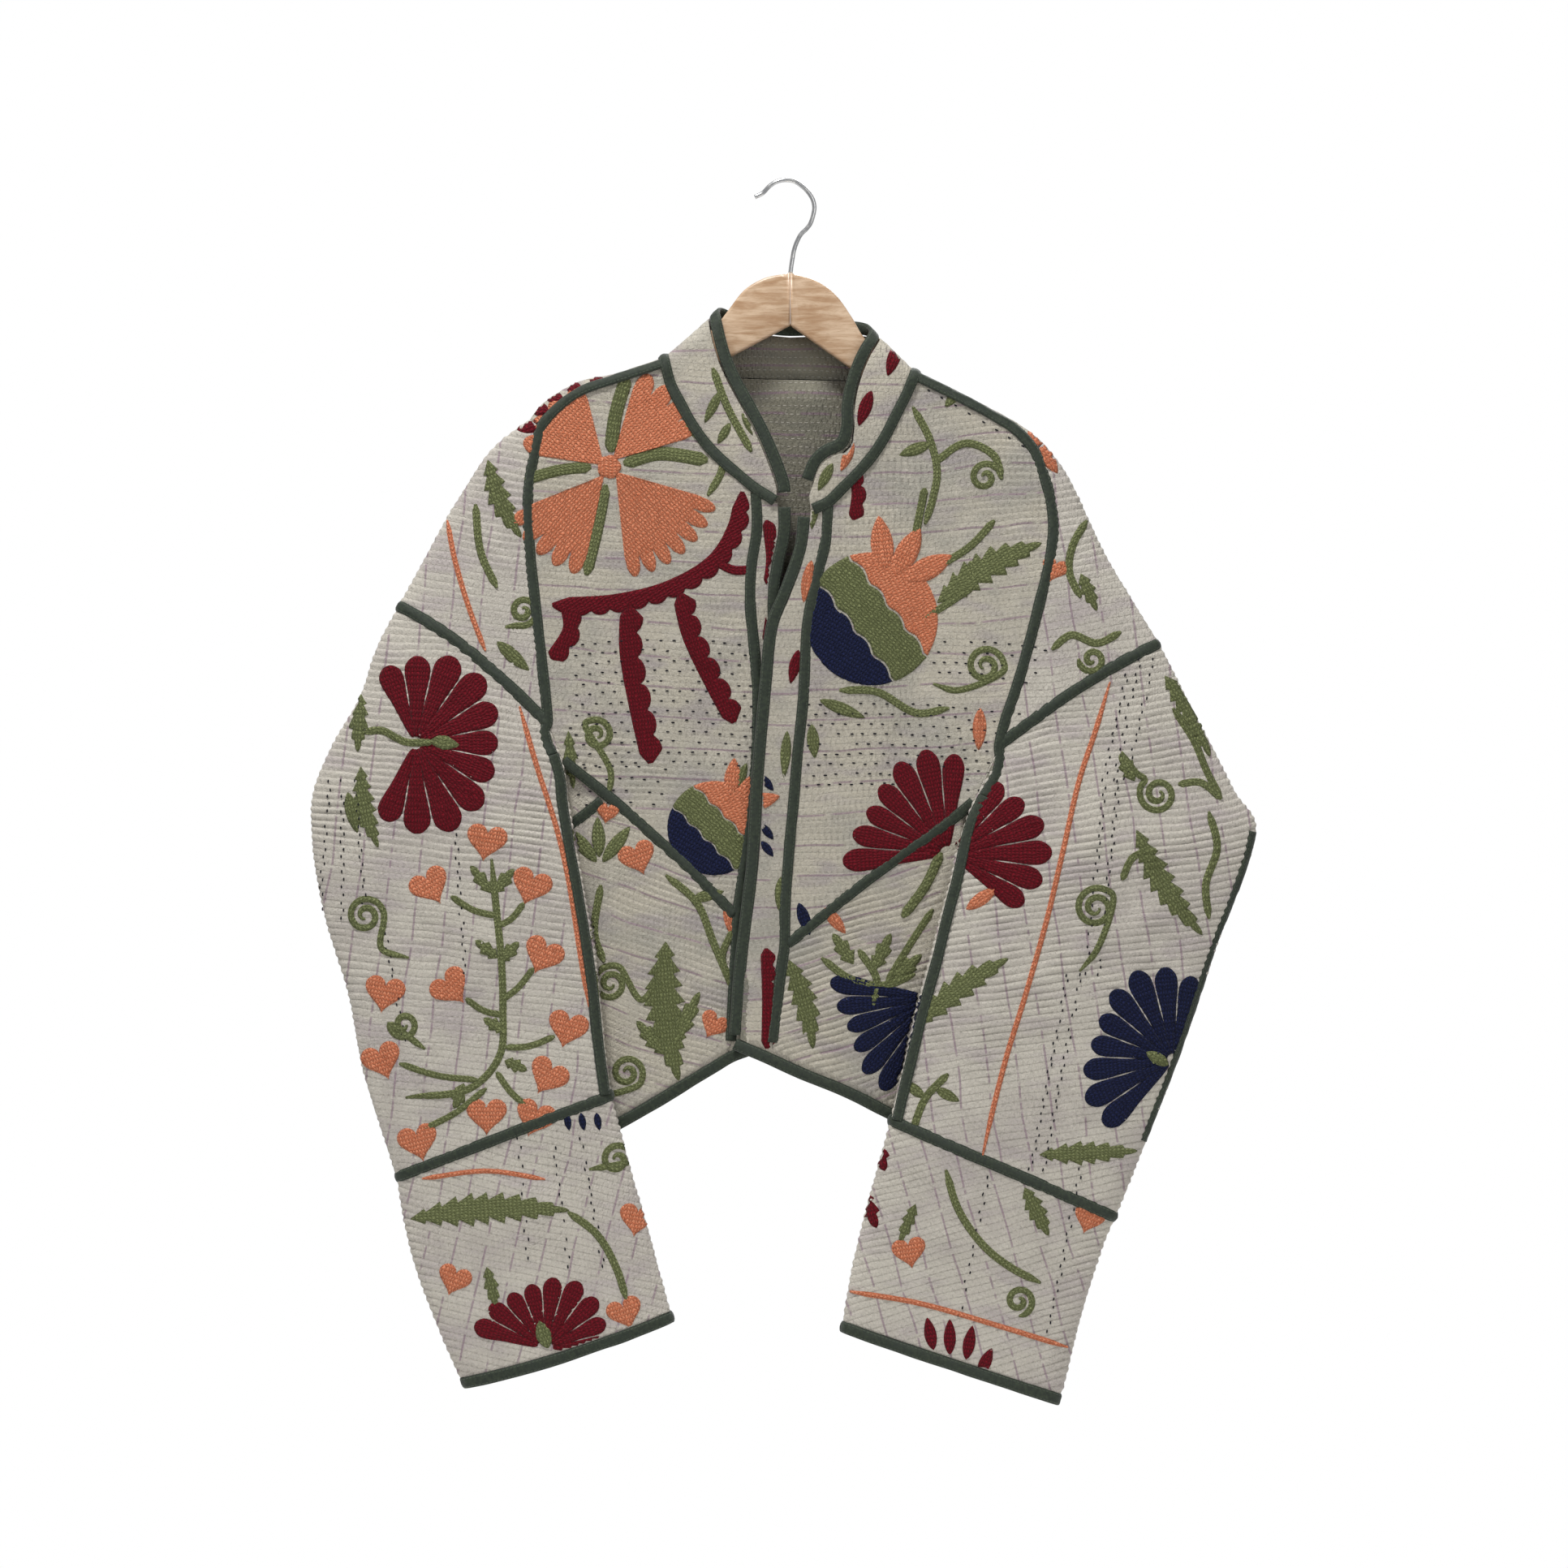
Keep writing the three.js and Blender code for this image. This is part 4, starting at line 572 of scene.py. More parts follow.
def cloth_material(name, mauve_across, row_lines, tone):
    """Washed cotton quilted in rows. UV map place is x and z in mm, and rows is along and across the rows."""
    n = Nodes(name)
    px, pz = n.uv("place")
    along_row, level = n.uv("rows")
    place = n.join(px, pz)
    big = n.noise(place, 0.011, 3, 0.6)
    middle = n.noise(place, 0.045, 3, 0.55)
    fine = n.noise(place, 0.9, 2, 0.6)
    colour = n.mix(n.ramp(big, 0.4, 0.66), rgb(tone[0]), rgb(tone[1]))
    colour = n.mix(n.ramp(middle, 0.45, 0.75) * 0.55, colour, rgb(tone[2]))
    faded = n.noise(n.join(px, pz * 2.4), 0.02, 2)
    colour = n.mix(n.ramp(faded, 0.48, 0.7) * 0.6, colour, rgb(tone[3]))
    colour = n.mix(n.ramp(fine, 0.35, 0.75) * 0.14, colour, rgb("8f887b"))
    # the valley between two puckers gets painted shade, a little darker, with a running stitch in it
    inside = n.math("FRACT", level)
    valley_painted_shade = n.ramp(abs(inside - 0.5), 0.36, 0.5)
    colour = n.mix(valley_painted_shade * 0.42, colour, rgb("7f776b"))
    shift = n.math("FLOOR", level + 0.5) * 0.37
    beat = n.math("FRACT", along_row / 4.6 + shift)
    stitch = n.ramp(beat, 0.42, 0.5) * n.ramp(abs(inside - 0.5), 0.42, 0.46)
    colour = n.mix(stitch * 0.5, colour, rgb("d8d3c6"))
    # thin lines of mauve thread, broken where the thread dips under
    if mauve_across:
        count, width = along_row / mauve_across, 0.5 / mauve_across
        thread = n.noise(n.join(level, n.math("FLOOR", count)), 0.7, 1)
    else:
        count, width = level / row_lines, 0.09 / row_lines
        thread = n.noise(n.join(along_row * 0.06, n.math("FLOOR", count)), 1.0, 1)
    near = abs(n.math("FRACT", count) - 0.5)
    line = (1.0 - n.ramp(near, width, width * 2.4)) * n.ramp(thread, 0.36, 0.5)
    colour = n.mix(line * 0.62, colour, rgb("8a6f80"))
    weave = n.math("SINE", px * 7.0) * n.math("SINE", pz * 7.0)
    crinkle = n.noise(n.join(along_row * 0.42, level * 1.5), 1.0, 3, 0.65)
    pull = n.ramp(abs(beat - 0.45), 0.0, 0.3) * 0.35
    height = weave * 0.05 + fine * 0.3 + (crinkle * 1.3 + (pull + stitch * 0.4))
    normal = n.bump(height, 0.0016, 0.9)
    return n.finish(colour, 0.92, normal, Sheen_Weight=0.12, Sheen_Roughness=0.6, Specular_IOR_Level=0.25)


CLOTH_TONE = ("c1baaa", "aba79c", "cfc8b9", "a0969a")
# the inside of every panel takes a darker copy of the cloth's tones: painted shade
SHADED_INSIDE_TONE = ("8c8878", "7f7d6f", "989382", "7a7770")
SLEEVE_TONE = ("ccc6ba", "c1bab1", "d6d0c4", "b9aeae")
CLOTH = {
    "body": cloth_material("kantha_body", 0, 4.6, CLOTH_TONE),
    "sleeve": cloth_material("kantha_sleeve", 24.0, 0, SLEEVE_TONE),
    "back": cloth_material("kantha_back", 0, 5.0, CLOTH_TONE),
    "inside": cloth_material("kantha_inside_painted_shade", 0, 2.6, SHADED_INSIDE_TONE),
}


def binding_material():
    n = Nodes("bias_binding")
    length, across = n.uv("rows")
    place = n.join(length, across * 4.5)
    slub = n.noise(place, 0.35, 3, 0.6)
    wide = n.noise(place, 0.03, 2)
    colour = n.mix(n.ramp(slub, 0.3, 0.75), rgb("1d261c"), rgb("323c2b"))
    colour = n.mix(n.ramp(wide, 0.4, 0.7) * 0.5, colour, rgb("263027"))
    edge = abs(abs(across) - 0.72)
    beat = n.math("FRACT", length / 3.1)
    stitch = (1.0 - n.ramp(edge, 0.04, 0.1)) * n.ramp(beat, 0.3, 0.4)
    colour = n.mix(stitch * 0.45, colour, rgb("566150"))
    twill = n.math("SINE", (length + across * 4.5) * 6.0)
    height = twill * 0.12 + (slub * 0.8 + stitch * -0.6)
    normal = n.bump(height, 0.0006, 0.8)
    return n.finish(colour, 0.62, normal, Sheen_Weight=0.25, Sheen_Roughness=0.4, Specular_IOR_Level=0.4)


BIAS = binding_material()


def thread_material(name, dark, light, smooth=0.0):
    """Chain stitch in cotton: UV map rows runs along and across the rows of loops, in mm."""
    n = Nodes("thread_" + name)
    u, v = n.uv("rows")
    wobble = n.noise(n.join(u, v), 0.16, 3, 0.7)
    row = n.math("FRACT", v / 2.5 + wobble * 2.2)
    dome = n.math("SINE", row * math.pi)
    slant = abs(row - 0.5) * 1.1
    loop = n.math("SINE", (u / 3.3 + slant) * (2 * math.pi))
    loops = (loop * 0.5 + 0.5) * dome
    fibre = n.noise(n.join(u * 0.35, v), 1.8, 2)
    worn = n.noise(n.join(u, v), 0.05, 2)
    # the loops also set the colour: painted shade between the loops and a painted highlight on their tops,
    # mixed with the fibre's own tone
    fibre_tone_and_painted_loop_shading = loops * 0.34 + fibre * 0.66
    colour = n.mix(n.ramp(fibre_tone_and_painted_loop_shading, 0.2, 0.78), rgb(dark), rgb(light))
    colour = n.mix(n.ramp(worn, 0.5, 0.75) * 0.22, colour, rgb(dark))
    height = loops * (1.0 - smooth) + (dome * 0.5 + fibre * 0.3)
    normal = n.bump(height, 0.0011, 0.9)
    return n.finish(colour, 0.8, normal, Sheen_Weight=0.05, Sheen_Roughness=0.5, Specular_IOR_Level=0.15)


THREAD = {
    "maroon": thread_material("maroon", "47060f", "7e0c1f", 0.5),
    "coral": thread_material("coral", "b5603f", "f2a17c"),
    "olive": thread_material("olive", "555b38", "8f9566"),
    "navy": thread_material("navy", "060a20", "1d2650", 0.2),
    "dash": thread_material("dash", "15151c", "2c2a30", 0.9),
    "outline": thread_material("outline", "4a4640", "6b655b", 0.9),
}


def wood_material():
    n = Nodes("hanger_wood")
    long = n.node("Mapping", {"Vector": n.here(), "Scale": (12.0, 60.0, 75.0)})
    grain = n.noise(long, 2.6, 8.0, 0.62, Distortion=0.4)
    pore = n.noise(long, 11.0, 4.0)
    colour = n.mix(n.ramp(grain, 0.35, 0.68), rgb("b08b68"), rgb("d9bd9f"))
    colour = n.mix(n.ramp(pore, 0.55, 0.75) * 0.4, colour, rgb("96704d"))
    normal = n.bump(grain * 0.4 + pore, 0.0003, 0.4)
    return n.finish(colour, 0.38, normal, Coat_Weight=0.3, Coat_Roughness=0.25)


def wire_material():
    n = Nodes("hook_wire")
    wear = n.noise(n.here(), 260.0, 4.0)
    colour = n.mix(n.ramp(wear, 0.35, 0.7), rgb("c9cacc"), rgb("e8e8e6"))
    rough = wear * 0.2 + 0.12
    return n.finish(colour, rough, n.bump(wear, 0.0001, 0.3), Metallic=1.0)


# Objects


def make_object(name, vertices, faces, material, uvs=None, smooth=True):
    """A mesh from points in mm. uvs is a name and an array of one place a vertex, for each map."""
    mesh = bpy.data.meshes.new(name)
    mesh.from_pydata((np.asarray(vertices) / 1000).tolist(), [], [list(map(int, f)) for f in faces])
    if smooth:
        mesh.shade_smooth()
    corners = np.zeros(len(mesh.loops), np.int32)
    mesh.loops.foreach_get("vertex_index", corners)
    for key, values in (uvs or {}).items():
        layer = mesh.uv_layers.new(name=key)
        layer.data.foreach_set("uv", np.asarray(values, np.float32)[corners].ravel())
    mesh.materials.append(material)
    piece = bpy.data.objects.new(name, mesh)
    bpy.context.scene.collection.objects.link(piece)
    return piece


def dress(piece, slot, *nodes):
    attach(piece, "root")
    if nodes:
        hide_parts(*nodes)
    return piece


def sheet_faces(shape, inner_shape, fine, mask, wrapped):
    """Faces of a closed wall with a fine outer grid, a coarse inner one and a rim between them."""
    (rows, columns), (_, inner_columns) = shape, inner_shape
    down, over = fine
    base = rows * columns

    def outer(i, j):
        return i * columns + (j % columns if wrapped else j)

    def inner(a, b):
        return base + a * inner_columns + (b % inner_columns if wrapped else b)

    shown = np.repeat(np.repeat(mask, down, axis=0), over, axis=1)
    i, j = np.nonzero(shown)
    faces = np.stack([outer(i, j), outer(i, j + 1), outer(i + 1, j + 1), outer(i + 1, j)], axis=1).tolist()
    a, b = np.nonzero(mask)
    faces += np.stack([inner(a + 1, b), inner(a + 1, b + 1), inner(a, b + 1), inner(a, b)], axis=1).tolist()
    nr, nc = mask.shape

    def cloth(p, q):
        if p < 0 or p >= nr:
            return False
        if wrapped:
            return mask[p, q % nc]
        return 0 <= q < nc and mask[p, q]

    for p, q in zip(a, b):
        corners = [(p, q), (p, q + 1), (p + 1, q + 1), (p + 1, q)]
        others = [(p - 1, q), (p, q + 1), (p + 1, q), (p, q - 1)]
        for side in range(4):
            if cloth(*others[side]):
                continue
            (p0, q0), (p1, q1) = corners[side], corners[(side + 1) % 4]
            steps = down if p0 != p1 else over
            line = [outer(p0 * down + (p1 - p0) * s, q0 * over + (q1 - q0) * s) for s in range(steps + 1)]
            start, end = inner(p0, q0), inner(p1, q1)
            middle = steps // 2
            for s in range(steps):
                faces.append([line[s + 1], line[s], start if s < middle else end])
            faces.append([line[middle], start, end])
    return faces, shown.sum(), mask.sum()


SURFACES = {}  # the fine outer grids that embroidery is laid on


def cloth(name, grid, fine, kind, quilt, wrapped=False, mask=None, outward=None, fade=None):
    """One quilted sheet: puckered outside, plain inside. fine is the fine rows and columns a coarse one."""
    rows, columns = grid.shape[:2]
    cells = ((rows - 1) // fine[0], (columns if wrapped else columns - 1) // fine[1])
    mask = np.ones(cells, bool) if mask is None else mask
    out = normals(grid, wrapped)
    middle = grid.reshape(-1, 3).mean(0)
    guide = grid - middle if outward is None else np.broadcast_to(np.asarray(outward, float), grid.shape)
    facing = np.sign((out * guide).sum())
    out = out * facing
    height, u, level = quilting(grid[..., 0], grid[..., 2], **quilt)
    fade = edge_fade(grid, open_sides=wrapped) if fade is None else fade
    outer = grid + out * (height * fade)[..., None]
    coarse = (slice(None, None, fine[0]), slice(None, None, fine[1]))
    inner = grid[coarse] - out[coarse] * WALL
    faces, outside, inside = sheet_faces(grid.shape[:2], inner.shape[:2], fine, mask, wrapped)
    if facing < 0:
        faces = [f[::-1] for f in faces]
    points = np.vstack([outer.reshape(-1, 3), inner.reshape(-1, 3)])
    place = points[:, [0, 2]]
    rows_uv = np.vstack([np.stack([u, level], axis=2).reshape(-1, 2),
                         np.stack([u[coarse], level[coarse]], axis=2).reshape(-1, 2)])
    # sheets that share a grid leave points unused, and these go
    used = np.unique(np.concatenate([np.asarray(f) for f in faces]))
    number = np.full(len(points), -1)
    number[used] = np.arange(len(used))
    faces = [number[np.asarray(f)] for f in faces]
    piece = make_object(name, points[used], faces, CLOTH[kind], {"place": place[used], "rows": rows_uv[used]})
    # the inside faces take the darker copy of the cloth, painted shade
    piece.data.materials.append(CLOTH["inside"])
    index = np.zeros(len(faces), np.int32)
    index[outside:outside + inside] = 1
    piece.data.polygons.foreach_set("material_index", index)
    dress(piece, "kantha_cloth", name)
    steps = np.linalg.norm(np.diff(grid, axis=0), axis=2)
    over = np.linalg.norm(np.diff(grid, axis=1), axis=2).sum(1)
    cell = np.linalg.norm(np.cross(grid[1:, :-1] - grid[:-1, :-1], grid[:-1, 1:] - grid[:-1, :-1]), axis=2)
    shown = np.repeat(np.repeat(mask, fine[0], axis=0), fine[1], axis=1)[:, :cell.shape[1]]
    SURFACES[name] = outer


# Body panels


def armhole(side, k):
    caps = section_rows(CAP[side], CAP_ROWS * k, 2)[:, 0]
    rows = section_rows(SLEEVE[side], SLEEVE_ROWS * k, 2)[:, 0]
    return np.vstack([caps, rows[1:OPEN_ROWS * k + 1]])


def front_seams(side, k, m):
    """Seams of an upper front, with k points a part down and m across."""
    half = HALF[side]
    hole = armhole(side, k)
    shoulder = along(half["shoulder"], SHOULDER_PARTS * m)[::-1]
    top = np.vstack([shoulder, along(half["neck"], NECK_PARTS * m)[1:]])
    diagonal = along([hole[-1], *half["diagonal"][1:]], (SHOULDER_PARTS + NECK_PARTS) * m)
    return hole, top, diagonal


def band_seams(side, k, parts):
    rows = HALF[side]["bandSeam"]
    end = HALF[side]["diagonal"][-1]
    above = [row for row in rows if row[2] > end[2] + 5]
    below = [row for row in rows if row[2] < end[2] - 5]
    return along([*above, end], parts * k), along([end, *below], LOWER_PARTS * k)


FRONT_OUT = (0, -1, 0)
BACK_OUT = (0, 1, 0)


def folded(grid, folds, outward, fullness=0):
    rows, columns = grid.shape[:2]
    i = np.sin(np.linspace(0, math.pi, rows)).clip(0)[:, None]
    j = np.sin(np.linspace(0, math.pi, columns)).clip(0)[None]
    grid = grid.copy()
    grid[..., 1] += outward * (fold_height(folds, grid[..., 0], grid[..., 2]) + fullness) * np.sqrt(i * j)
    return grid


def gusset_at(side):
    """Where the gusset meets the diagonal seam, counted in the seam's parts."""
    _, _, diagonal = front_seams(side, 1, 1)
    near = abs(HALF[side]["gusset"][0][0]) + 0.1
    return max(int(np.argmax(np.abs(diagonal[:, 0]) < near)), 1)


def make_fronts(side):
    half = HALF[side]
    left = side == "left"
    k, m = 18, 14
    hole, top, diagonal = front_seams(side, k, m)
    upper, _ = band_seams(side, k, UPPER_PARTS)
    grid = folded(coons(top, diagonal, hole, upper), FRONT_FOLDS, -1)
    quilt = dict(seed=10 if left else 30, ribs=0.3 if left else 0.55, tilt=0.03 if left else -0.02,
                 arch=-1.5, height=1.35)
    cloth(f"front_upper_{side}", grid, (k, m), "body", quilt, outward=FRONT_OUT)

    at = gusset_at(side)
    k, m = 18, 10
    _, _, diagonal = front_seams(side, k, m)
    meeting = diagonal[at * m]
    gusset_line = along([*half["gusset"][:0:-1], meeting], GUSSET_ACROSS * m)
    top = np.vstack([gusset_line, diagonal[at * m + 1:]])
    hem = beside(along(half["hem"], len(top) - 1), EDGE_HALF if left else -EDGE_HALF)
    outer_side = along([gusset_line[0], *half["side"][2:-1], hem[0]], LOWER_PARTS * k)
    _, band_side = band_seams(side, k, UPPER_PARTS)
    band_side[-1] = hem[-1]
    grid = folded(coons(top, hem, outer_side, band_side), FRONT_FOLDS, -1)
    quilt = dict(seed=50 if left else 70, tilt=0.32 if left else -0.3, height=1.35)
    cloth(f"front_lower_{side}", grid, (k, m), "body", quilt, outward=FRONT_OUT)

    k, m = 8, 8
    lower = along([*half["gusset"][:0:-1], meeting], GUSSET_ACROSS * m)
    upper_edge = along(half["underarm"][::-1], GUSSET_ACROSS * m)
    t = np.linspace(0, 1, GUSSET_PARTS * k + 1)[:, None]
    sides = [upper_edge[e] + (lower[e] - upper_edge[e]) * t for e in (0, -1)]
    quilt = dict(seed=90, tilt=0.9 if left else -0.9)
    cloth(f"gusset_{side}", coons(upper_edge, lower, *sides), (k, m), "body", quilt, outward=FRONT_OUT)


def make_band(side):
    half = HALF[side]
    left = side == "left"
    k, m = 14, 6
    upper, lower = band_seams(side, k, UPPER_PARTS)
    inner = np.vstack([upper, lower[1:]])
    edge = beside(along(half["frontEdge"], len(inner) - 1), -EDGE_HALF if left else EDGE_HALF)
    hem = beside(along(half["hemBand"], BAND_PARTS * m), EDGE_HALF if left else -EDGE_HALF)
    neck = along(half["neckBand"], BAND_PARTS * m)
    edge[0] = neck[-1]
    inner[-1] = hem[0]
    hem[-1, 0] = edge[-1, 0]
    edge[-1] = hem[-1]
    quilt = dict(seed=110 if left else 130, ribs=0.3, height=0.95)
    cloth(f"front_band_{side}", coons(neck, hem, inner, edge), (k, m), "body", quilt, outward=FRONT_OUT)


def back_shoulder(side, m):
    ridge = along(HALF[side]["ridge"], SHOULDER_PARTS * m)
    front = along(HALF[side]["shoulder"], SHOULDER_PARTS * m)
    tip = section_rows(CAP[side], CAP_ROWS, AROUND)[0]
    ridge[-1] = tip[AROUND]
    behind = np.stack([ridge[:, 0], np.full(len(ridge), 9.5), ridge[:, 2] - 4], axis=1)
    behind[-1] = tip[-1]
    behind[0] = BACK_NECK[0] if side == "left" else BACK_NECK[-1]
    return {"front": front, "ridge": ridge, "behind": behind}


def make_back():
    k, m = 13, 9
    sides = []
    for side in ("left", "right"):
        hole = section_rows(CAP[side], CAP_ROWS * k, 2)[:, -1]
        seam = [(row[0], 1.9, row[2]) for row in HALF[side]["side"][:-1]]
        line = along([hole[-1], *seam, HALF[side]["backHem"][0]], BACK_ROWS * k)
        sides.append(np.vstack([hole, line[1:]]))
    left, right = back_shoulder("left", m), back_shoulder("right", m)
    neck = along(BACK_NECK, BACK_NECK_PARTS * m)

    def across(key):
        return np.vstack([left[key][::-1], neck[1:-1], right[key]])

    top = across("behind")
    curve = [*HALF["left"]["backHem"], *HALF["right"]["backHem"][-2::-1]]
    hem = beside(along(curve, len(top) - 1), EDGE_HALF)
    sides[0][-1], sides[1][-1] = hem[0], hem[-1]
    grid = folded(coons(top, hem, *sides), BACK_FOLDS, 1, BACK_FULLNESS)
    over = np.stack([along([f, r, t], 2 * k) for f, r, t in zip(across("front"), across("ridge"), top)],
                    axis=1)
    grid = np.concatenate([over[:-1], grid])
    parts = (len(grid) - 1) // k, 2 * SHOULDER_PARTS + BACK_NECK_PARTS
    mask = np.ones(parts, bool)
    mask[:2, SHOULDER_PARTS:-SHOULDER_PARTS] = False
    fade = edge_fade(grid)
    fade[:2 * k] *= 0.4
    quilt = dict(seed=150, tilt=0.02, height=1.2, pitch=6.2)
    cloth("back", grid, (k, m), "back", quilt, mask=mask, outward=BACK_OUT, fade=fade)


# Sleeves


def round_the_gap(grid, m):
    """A run of sections with the points between each back edge and front edge added."""
    t = np.arange(1, m)[None, :, None] / m
    return np.concatenate([grid, grid[:, -1:] * (1 - t) + grid[:, :1] * t], axis=1)


def make_sleeve(side):
    left = side == "left"
    tilt = 0.12 if left else -0.14
    k, m = 16, 5
    grid = sleeve_folded(section_rows(CAP[side], CAP_ROWS * k, AROUND * m), False, False, (k, m))
    quilt = dict(seed=200 if left else 220, tilt=tilt, height=1.35, pitch=5.8)
    cloth(f"cap_{side}", grid, (k, m), "sleeve", quilt)
    k, m = 20, 6
    grid = sleeve_folded(section_rows(SLEEVE[side], SLEEVE_ROWS * k, AROUND * m), False, False, (k, m))
    mask = np.ones((SLEEVE_ROWS, 2 * AROUND + 1), bool)
    mask[:OPEN_ROWS, -1] = False
    quilt = dict(seed=240 if left else 260, tilt=tilt, height=1.55, pitch=5.8)
    cloth(f"sleeve_{side}", round_the_gap(grid, m), (k, m), "sleeve", quilt, wrapped=True, mask=mask)
    grid = sleeve_folded(section_rows(CUFF[side], CUFF_ROWS * k, AROUND * m), False, True, (k, m))
    quilt = dict(seed=280 if left else 300, tilt=tilt * 2, height=1.45, pitch=5.8)
    cloth(f"cuff_{side}", round_the_gap(grid, m), (k, m), "sleeve", quilt, wrapped=True)


# Collar


def neck_line():
    """Neck seam from the left front end round the back to the right front end."""
    def front(side):
        band = along(HALF[side]["neckBand"], BAND_PARTS)[::-1]
        return np.vstack([band, along(HALF[side]["neck"], NECK_PARTS)[::-1][1:]])
    left, right = HALF["left"]["ridge"][:1], HALF["right"]["ridge"][:1]
    return np.vstack([front("left"), left, along(BACK_NECK, BACK_NECK_PARTS), right, front("right")[::-1]])


def collar_lines():
    low = neck_line()
    steps = BAND_PARTS + NECK_PARTS
    folds = [0, steps + 1, steps + 3 + BACK_NECK_PARTS, len(low) - 1]
    places = np.interp(np.arange(len(low)), folds, [0, 8, 14, len(COLLAR_TOP) - 1])
    return low, catmull(COLLAR_TOP, places / (len(COLLAR_TOP) - 1)), folds


def make_collar():
    low, high, _ = collar_lines()
    k, m = 10, 8
    t = np.linspace(0, 1, (len(low) - 1) * m + 1)
    low, high = catmull(low, t), catmull(high, t)
    height = np.linalg.norm(high - low, axis=1, keepdims=True)
    rise = (high - low) / height
    slant = np.linalg.norm(np.cross(rise, unit(np.gradient(high, axis=0))), axis=1, keepdims=True)
    slant = np.maximum(slant, 0.3) / 1.3
    start, end = 0.5 / height, 1 - EDGE_HALF / slant / height
    share = [start + (end - start) * v for v in np.linspace(0, 1, COLLAR_ROWS * k + 1)]
    grid = np.stack([low + (high - low) * s for s in share])
    quilt = dict(seed=320, ribs=0.4, height=0.6)
    cloth("collar", grid, (k, m), "body", quilt, outward=-normals(grid))


# Bindings


def seam_section(width, height, base=0.5):
    s = np.array([-1, -0.95, -0.8, -0.55, -0.28, 0, 0.28, 0.55, 0.8, 0.95, 1])
    top = base + (height - base) * (1 - np.abs(s) ** 2.4)
    across = np.concatenate([[-1], s, [1]])
    return np.stack([across * width / 2, np.concatenate([[-0.8], top, [-0.8]]), across], axis=1)


def edge_section(width):
    a = np.linspace(0, 2 * math.pi, 16, endpoint=False)[::-1]
    round_cos = np.sign(np.cos(a)) * np.abs(np.cos(a)) ** 0.75
    round_sin = np.sign(np.sin(a)) * np.abs(np.sin(a)) ** 0.8
    return np.stack([round_cos * width / 2, 2.2 * round_sin - 0.7, round_cos], axis=1)


def swept(line, outward, section, ring, seed, wrinkle=1.0):
    """Points, faces and map places of a section carried along a line, with small wrinkles."""
    if ring:
        run = np.roll(line, -1, axis=0) - np.roll(line, 1, axis=0)
    else:
        run = np.gradient(line, axis=0)
    run = unit(run)
    out = unit(outward - (outward * run).sum(1, keepdims=True) * run)
    side = np.cross(run, out)
    far = lengths(line)[:, None]
    s, h, across = (section[None, :, c] for c in range(3))
    width = 1 + wrinkle * 0.05 * noise(far, far * 0 + 3, 16, seed)
    drift = wrinkle * 0.4 * noise(far, far * 0 + 9, 34, seed + 1)
    crease = 0.3 * noise(far + 0.5 * s, 2 * s + 0 * far, 6.5, seed + 2)
    crease = crease + 0.16 * noise(far - s, 2 * s + 0 * far, 3.2, seed + 3)
    lift = h + wrinkle * crease * (h > 0.3)
    points = line[:, None] + side[:, None] * (s * width + drift)[..., None] + out[:, None] * lift[..., None]
    rows, around = points.shape[:2]
    i, j = cells(rows if ring else rows - 1, around)
    i1, j1 = (i + 1) % rows, (j + 1) % around
    faces = np.stack([i * around + j, i * around + j1, i1 * around + j1, i1 * around + j], axis=1).tolist()
    if not ring:
        faces += [list(range(around))[::-1], [(rows - 1) * around + n for n in range(around)]]
    places = np.stack([far + 0 * across, across + 0 * far], axis=2)
    return points.reshape(-1, 3), outwards(points.reshape(-1, 3), faces), places.reshape(-1, 2)


def outwards(points, faces):
    """The faces turned so that the body they close has its outside out."""
    volume = 0
    for face in faces:
        p = points[face]
        volume += np.einsum("ij,ij->", np.cross(p[1:-1], p[2:]), np.broadcast_to(p[0], p[2:].shape))
    return faces if volume > 0 else [face[::-1] for face in faces]


def binding(name, points, outward, clear=(0, 0), width=8.8, height=1.9, base=0.5, edge=False, ring=False,
            seed=0):
    points = np.asarray(points, float)
    outward = np.broadcast_to(np.asarray(outward, float), points.shape)
    if ring:
        n = len(points)
        count = int(lengths(points)[-1] / 2)
        line = catmull(np.vstack([points[-2:], points, points[:3]]),
                       np.linspace(2, n + 2, count, endpoint=False) / (n + 4))
        out = spread(np.vstack([outward, outward[:1]]), np.linspace(0, 1, count, endpoint=False))
    else:
        line, where = trimmed(points, *clear)
        out = spread(outward, where)
    section = edge_section(width + 0.9) if edge else seam_section(width, height, base)
    verts, faces, places = swept(line, out, section, ring, seed)
    piece = make_object(name, verts, faces, BIAS, {"rows": places})
    dress(piece, "binding_cloth", name)
    p = np.vstack([section[:, :2], section[:1, :2]])
    lengths(p)[-1] / 2000
    (lengths(line)[-1] + 2 * ring) / 1000


def outward_of(rows, i):
    """Outward directions of one section in a run of them."""
    out = normals(rows)[i]
    middle = rows[i].mean(0)
    return out * np.sign((out * (rows[i] - middle)).sum())


